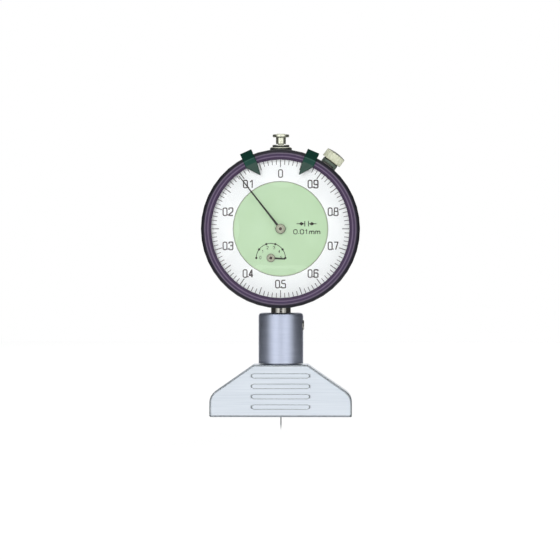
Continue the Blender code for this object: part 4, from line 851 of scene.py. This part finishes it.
arrowheads = [diamond(right, ARROW_UP) for right in (7.5, 11.2)]
printed("value_arrowheads", arrowheads, olive_ink, "frame")
bars = [[(right, ARROW_UP - 0.95), (right, ARROW_UP + 0.95)] for right in (8.68, 10.0)]
shafts = [[(start, ARROW_UP), (end, ARROW_UP)] for start, end in ((5.75, 8.4), (10.3, 12.9))]
lines = [(False, [on_dial(*place) for place in line]) for line in bars + shafts]
strokes("value_arrows", lines, 0.32 * MM, olive_ink, "frame")
value_size = {"wide": 1.26, "high": 1.56, "gap": 0.5}
value = lettering("0.01", (7.07, VALUE_UP), **value_size, point_room=0.57, one_room=0.5)
value += lettering("mm", (12.2, VALUE_UP), **value_size)
strokes("value_text", value, 0.33 * MM, olive_ink, "frame")

# %% [markdown]
# Below the middle a small counter shows whole turns of the main hand, on a half circle
# with six dots, 36 degrees apart.

# %% The small counter
# In mm: the arc, the dots on it, and the circle on which the figures stand.
ARC_RADIUS = 5.2
DOT_RADIUS = 0.42
DIGIT_CIRCLE = 3.75
ARC_STEPS = 36

half_turn = [math.pi * step / ARC_STEPS for step in range(ARC_STEPS + 1)]
arc = [on_dial(ARC_RADIUS * math.cos(a), ARC_RADIUS * math.sin(a), counter_axis) for a in half_turn]
strokes("counter_arc", [(False, arc)], 0.28 * MM, olive_ink, "frame")

dots, digits = [], []
for count in range(6):
    angle = math.pi - math.radians(36) * count
    out = (math.cos(angle), math.sin(angle))
    dot = []
    for step in range(12):
        turn = math.pi * step / 6
        right = ARC_RADIUS * out[0] + DOT_RADIUS * math.cos(turn)
        dot.append(on_dial(right, ARC_RADIUS * out[1] + DOT_RADIUS * math.sin(turn), counter_axis))
    dots.append(dot)
    spot = (DIGIT_CIRCLE * out[0], DIGIT_CIRCLE * out[1] + 0.15)
    digits += lettering(str(count), spot, wide=0.52, high=1.0, gap=0.3, axis=counter_axis)
printed("counter_dots", dots, olive_ink, "frame")
strokes("counter_figures", digits, 0.17 * MM, olive_ink, "frame")

# %% [markdown]
# ## The studio
#
# A product photograph of a steel tool is made in a white tent with dark cards. The world
# is the tent: it lights the gauge evenly from all round, and it is pure white where the
# camera, a mirror or a lens looks at it. The table is white in the same way, but keeps a
# fifth of its real shading, which is the soft shadow.

# %% White tent
def emptied(made):
    """Switch a world or a material to nodes and clear them."""
    made.use_nodes = True
    made.node_tree.nodes.clear()
    return made.node_tree


def looked_at(tree):
    """1 where the camera, a mirror or a lens looks, and 0 for rays that only carry light."""
    rays = put(tree, "ShaderNodeLightPath").outputs
    direct = {0: rays["Is Camera Ray"], 1: rays["Is Glossy Ray"]}
    seen = put(tree, "ShaderNodeMath", direct, operation="MAXIMUM").outputs[0]
    through = {0: seen, 1: rays["Is Transmission Ray"]}
    return put(tree, "ShaderNodeMath", through, operation="MAXIMUM").outputs[0]


world = bpy.data.worlds.new("white_tent")
bpy.context.scene.world = world
tree = emptied(world)
tent_light = put(tree, "ShaderNodeBackground", {"Color": colour("#ffffff"), "Strength": 0.28}).outputs[0]
tent_white = put(tree, "ShaderNodeBackground", {"Color": colour("#ffffff"), "Strength": 1.0}).outputs[0]
tent = put(tree, "ShaderNodeMixShader", {0: looked_at(tree), 1: tent_light, 2: tent_white})
put(tree, "ShaderNodeOutputWorld", {"Surface": tent.outputs[0]})
print("world:", world.name)

# %% White table
table_white = bpy.data.materials.new("white_table")
tree = emptied(table_white)
share = put(tree, "ShaderNodeMath", {0: looked_at(tree), 1: 0.8}, operation="MULTIPLY")
paper = put(tree, "ShaderNodeBsdfDiffuse", {"Color": colour("#fafafa")})
glow = put(tree, "ShaderNodeEmission", {"Color": colour("#ffffff"), "Strength": 1.12})
both = put(tree, "ShaderNodeMixShader", {0: share.outputs[0], 1: paper.outputs[0], 2: glow.outputs[0]})
put(tree, "ShaderNodeOutputMaterial", {"Surface": both.outputs[0]})


def card(name, corners, finish):
    """A flat sheet of the studio, which is no part of the gauge."""
    mesh = bpy.data.meshes.new(name)
    mesh.from_pydata(corners, [], [(0, 1, 2, 3)])
    mesh.materials.append(finish)
    made = bpy.data.objects.new(name, mesh)
    bpy.context.scene.collection.objects.link(made)
    return made


TABLE_HALF = 1.2
card(
    "table",
    [(TABLE_HALF * right, TABLE_HALF * back, 0) for right, back in ((-1, -1), (1, -1), (1, 1), (-1, 1))],
    table_white,
)
print("table is", 2 * TABLE_HALF, "m wide")

# %% [markdown]
# ## Dark cards for the metal
#
# In a tent that is white all round, a steel cylinder looks like paper. Photographers put
# dark cards beside it: a cylinder's flanks mirror them and turn dark, and its shape
# appears. Here a tall card stands on each side, and a small dark one where the camera is,
# which draws the thin line down the middle of the polished stem. Only mirrors see them,
# so they take no light away from the dial and never block a view.

# %% Cards
card_grey = bpy.data.materials.new("dark_studio_card")
tree = emptied(card_grey)
dim = put(tree, "ShaderNodeEmission", {"Color": colour("#ffffff"), "Strength": 0.09})
put(tree, "ShaderNodeOutputMaterial", {"Surface": dim.outputs[0]})


def standing_card(name, start, end, low, high, away):
    """Stands between two bearings round the gauge, in degrees: 0 is the front, 90 the right."""
    corners = []
    for bearing, height in ((start, low), (end, low), (end, high), (start, high)):
        turn = math.radians(bearing)
        corners.append((away * math.sin(turn), -away * math.cos(turn), height))
    made = card(name, corners, card_grey)
    made.visible_camera = False
    made.visible_diffuse = False
    made.visible_shadow = False
    made.visible_transmission = False


SIDE_CARDS = {
    "right_front": (62, 100), "right_rear": (100, 150),
    "left_rear": (210, 260), "left_front": (260, 298),
}
for name, (start, end) in SIDE_CARDS.items():
    standing_card("dark_card_" + name, start, end, low=0.0, high=0.25, away=0.14)
standing_card("dark_card_for_glass", -5, 5, low=0.042, high=0.108, away=0.5)
standing_card("dark_card_for_neck", -16, 16, low=0.024, high=0.04, away=0.5)
print("dark cards:", len(SIDE_CARDS) + 2)

# %% [markdown]
# ## Lamps
#
# Three soft boxes, left, right and above, are what the polished metal mirrors. The dial
# lies 5 mm deep in its bezel, though, and their light would never reach its rim. So they
# are kept for the mirrors, and the paint, the plastic and the paper are lit by two fill
# lamps right beside the camera that shine straight into the recess. Together with the
# tent they give a level at which a colour renders about as it is written. Three more
# fills, behind and at the sides, are for whoever walks round the table.

# %% Soft boxes
GAUGE_MIDDLE = Vector((0, 0, 0.055))


def soft_box(name, place, size, watts, in_mirrors):
    """A lamp that either only mirrors show, or that only lights paint, plastic and paper."""
    lamp = bpy.data.lights.new(name, "AREA")
    lamp.shape = "RECTANGLE"
    lamp.size = size[0]
    lamp.size_y = size[1]
    lamp.energy = watts
    made = bpy.data.objects.new(name, lamp)
    bpy.context.scene.collection.objects.link(made)
    made.location = place
    made.rotation_euler = (GAUGE_MIDDLE - Vector(place)).to_track_quat("-Z", "Y").to_euler()
    made.visible_camera = False
    made.visible_diffuse = not in_mirrors
    made.visible_glossy = in_mirrors
    made.visible_transmission = in_mirrors


soft_box("left_soft_box", (-0.5, -1.0, 0.3), (0.6, 0.7), 1.5, in_mirrors=True)
soft_box("right_soft_box", (0.5, -1.0, 0.25), (0.6, 0.7), 1.3, in_mirrors=True)
soft_box("high_soft_box", (-0.1, -0.8, 0.9), (0.7, 0.4), 2.0, in_mirrors=True)
soft_box("left_fill", (-0.2, -1.35, 0.2), (0.25, 0.4), 9.0, in_mirrors=False)
soft_box("right_fill", (0.2, -1.35, 0.0), (0.25, 0.4), 8.1, in_mirrors=False)
soft_box("rear_fill", (0.3, 0.9, 0.7), (0.6, 0.5), 4.0, in_mirrors=False)
soft_box("left_side_fill", (-1.1, 0.05, 0.35), (0.5, 0.5), 3.0, in_mirrors=False)
soft_box("right_side_fill", (1.1, 0.05, 0.35), (0.5, 0.5), 3.0, in_mirrors=False)
print("lamps:", len(bpy.data.lights))

# %% [markdown]
# ## The camera
#
# The photograph looks straight at the dial with a long lens from about 1.5 m: the bottom
# edge of the round column dips by a hair, which puts the camera level with the dial's
# middle. The column shows a quarter of a millimetre to the right of the dial, which puts
# it 26 mm to the right. One pixel of the 560 across is 0.3574 mm at the bezel's front.

# %% Camera
DISTANCE = 1.5
TO_THE_RIGHT = 26 * MM
PIXEL_MM = 0.3574
FRAME_WIDTH = 560 * PIXEL_MM * MM
# The middle of the picture lies this many pixels to the left of the dial's axis, and below.
LEFT_OF_AXIS, BELOW_AXIS = 0.3, 51.2
SENSOR_MM = 36

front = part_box("bezel")[0].y
aim_x = dial_axis.x - LEFT_OF_AXIS * PIXEL_MM * MM
aim_z = dial_axis.z - BELOW_AXIS * PIXEL_MM * MM
aim = Vector((aim_x, front, aim_z))
lens = bpy.data.cameras.new("long_lens")
lens.sensor_width = SENSOR_MM
lens.lens = SENSOR_MM * DISTANCE / FRAME_WIDTH
lens.clip_start = 0.05
lens.clip_end = 20
camera = bpy.data.objects.new("camera", lens)
bpy.context.scene.collection.objects.link(camera)
camera.location = (aim.x + TO_THE_RIGHT, front - DISTANCE, dial_axis.z)
camera.rotation_euler = (aim - camera.location).to_track_quat("-Z", "Y").to_euler()
bpy.context.scene.camera = camera
bpy.context.scene.view_settings.view_transform = "Standard"
print("focal length in mm:", round(lens.lens, 1))
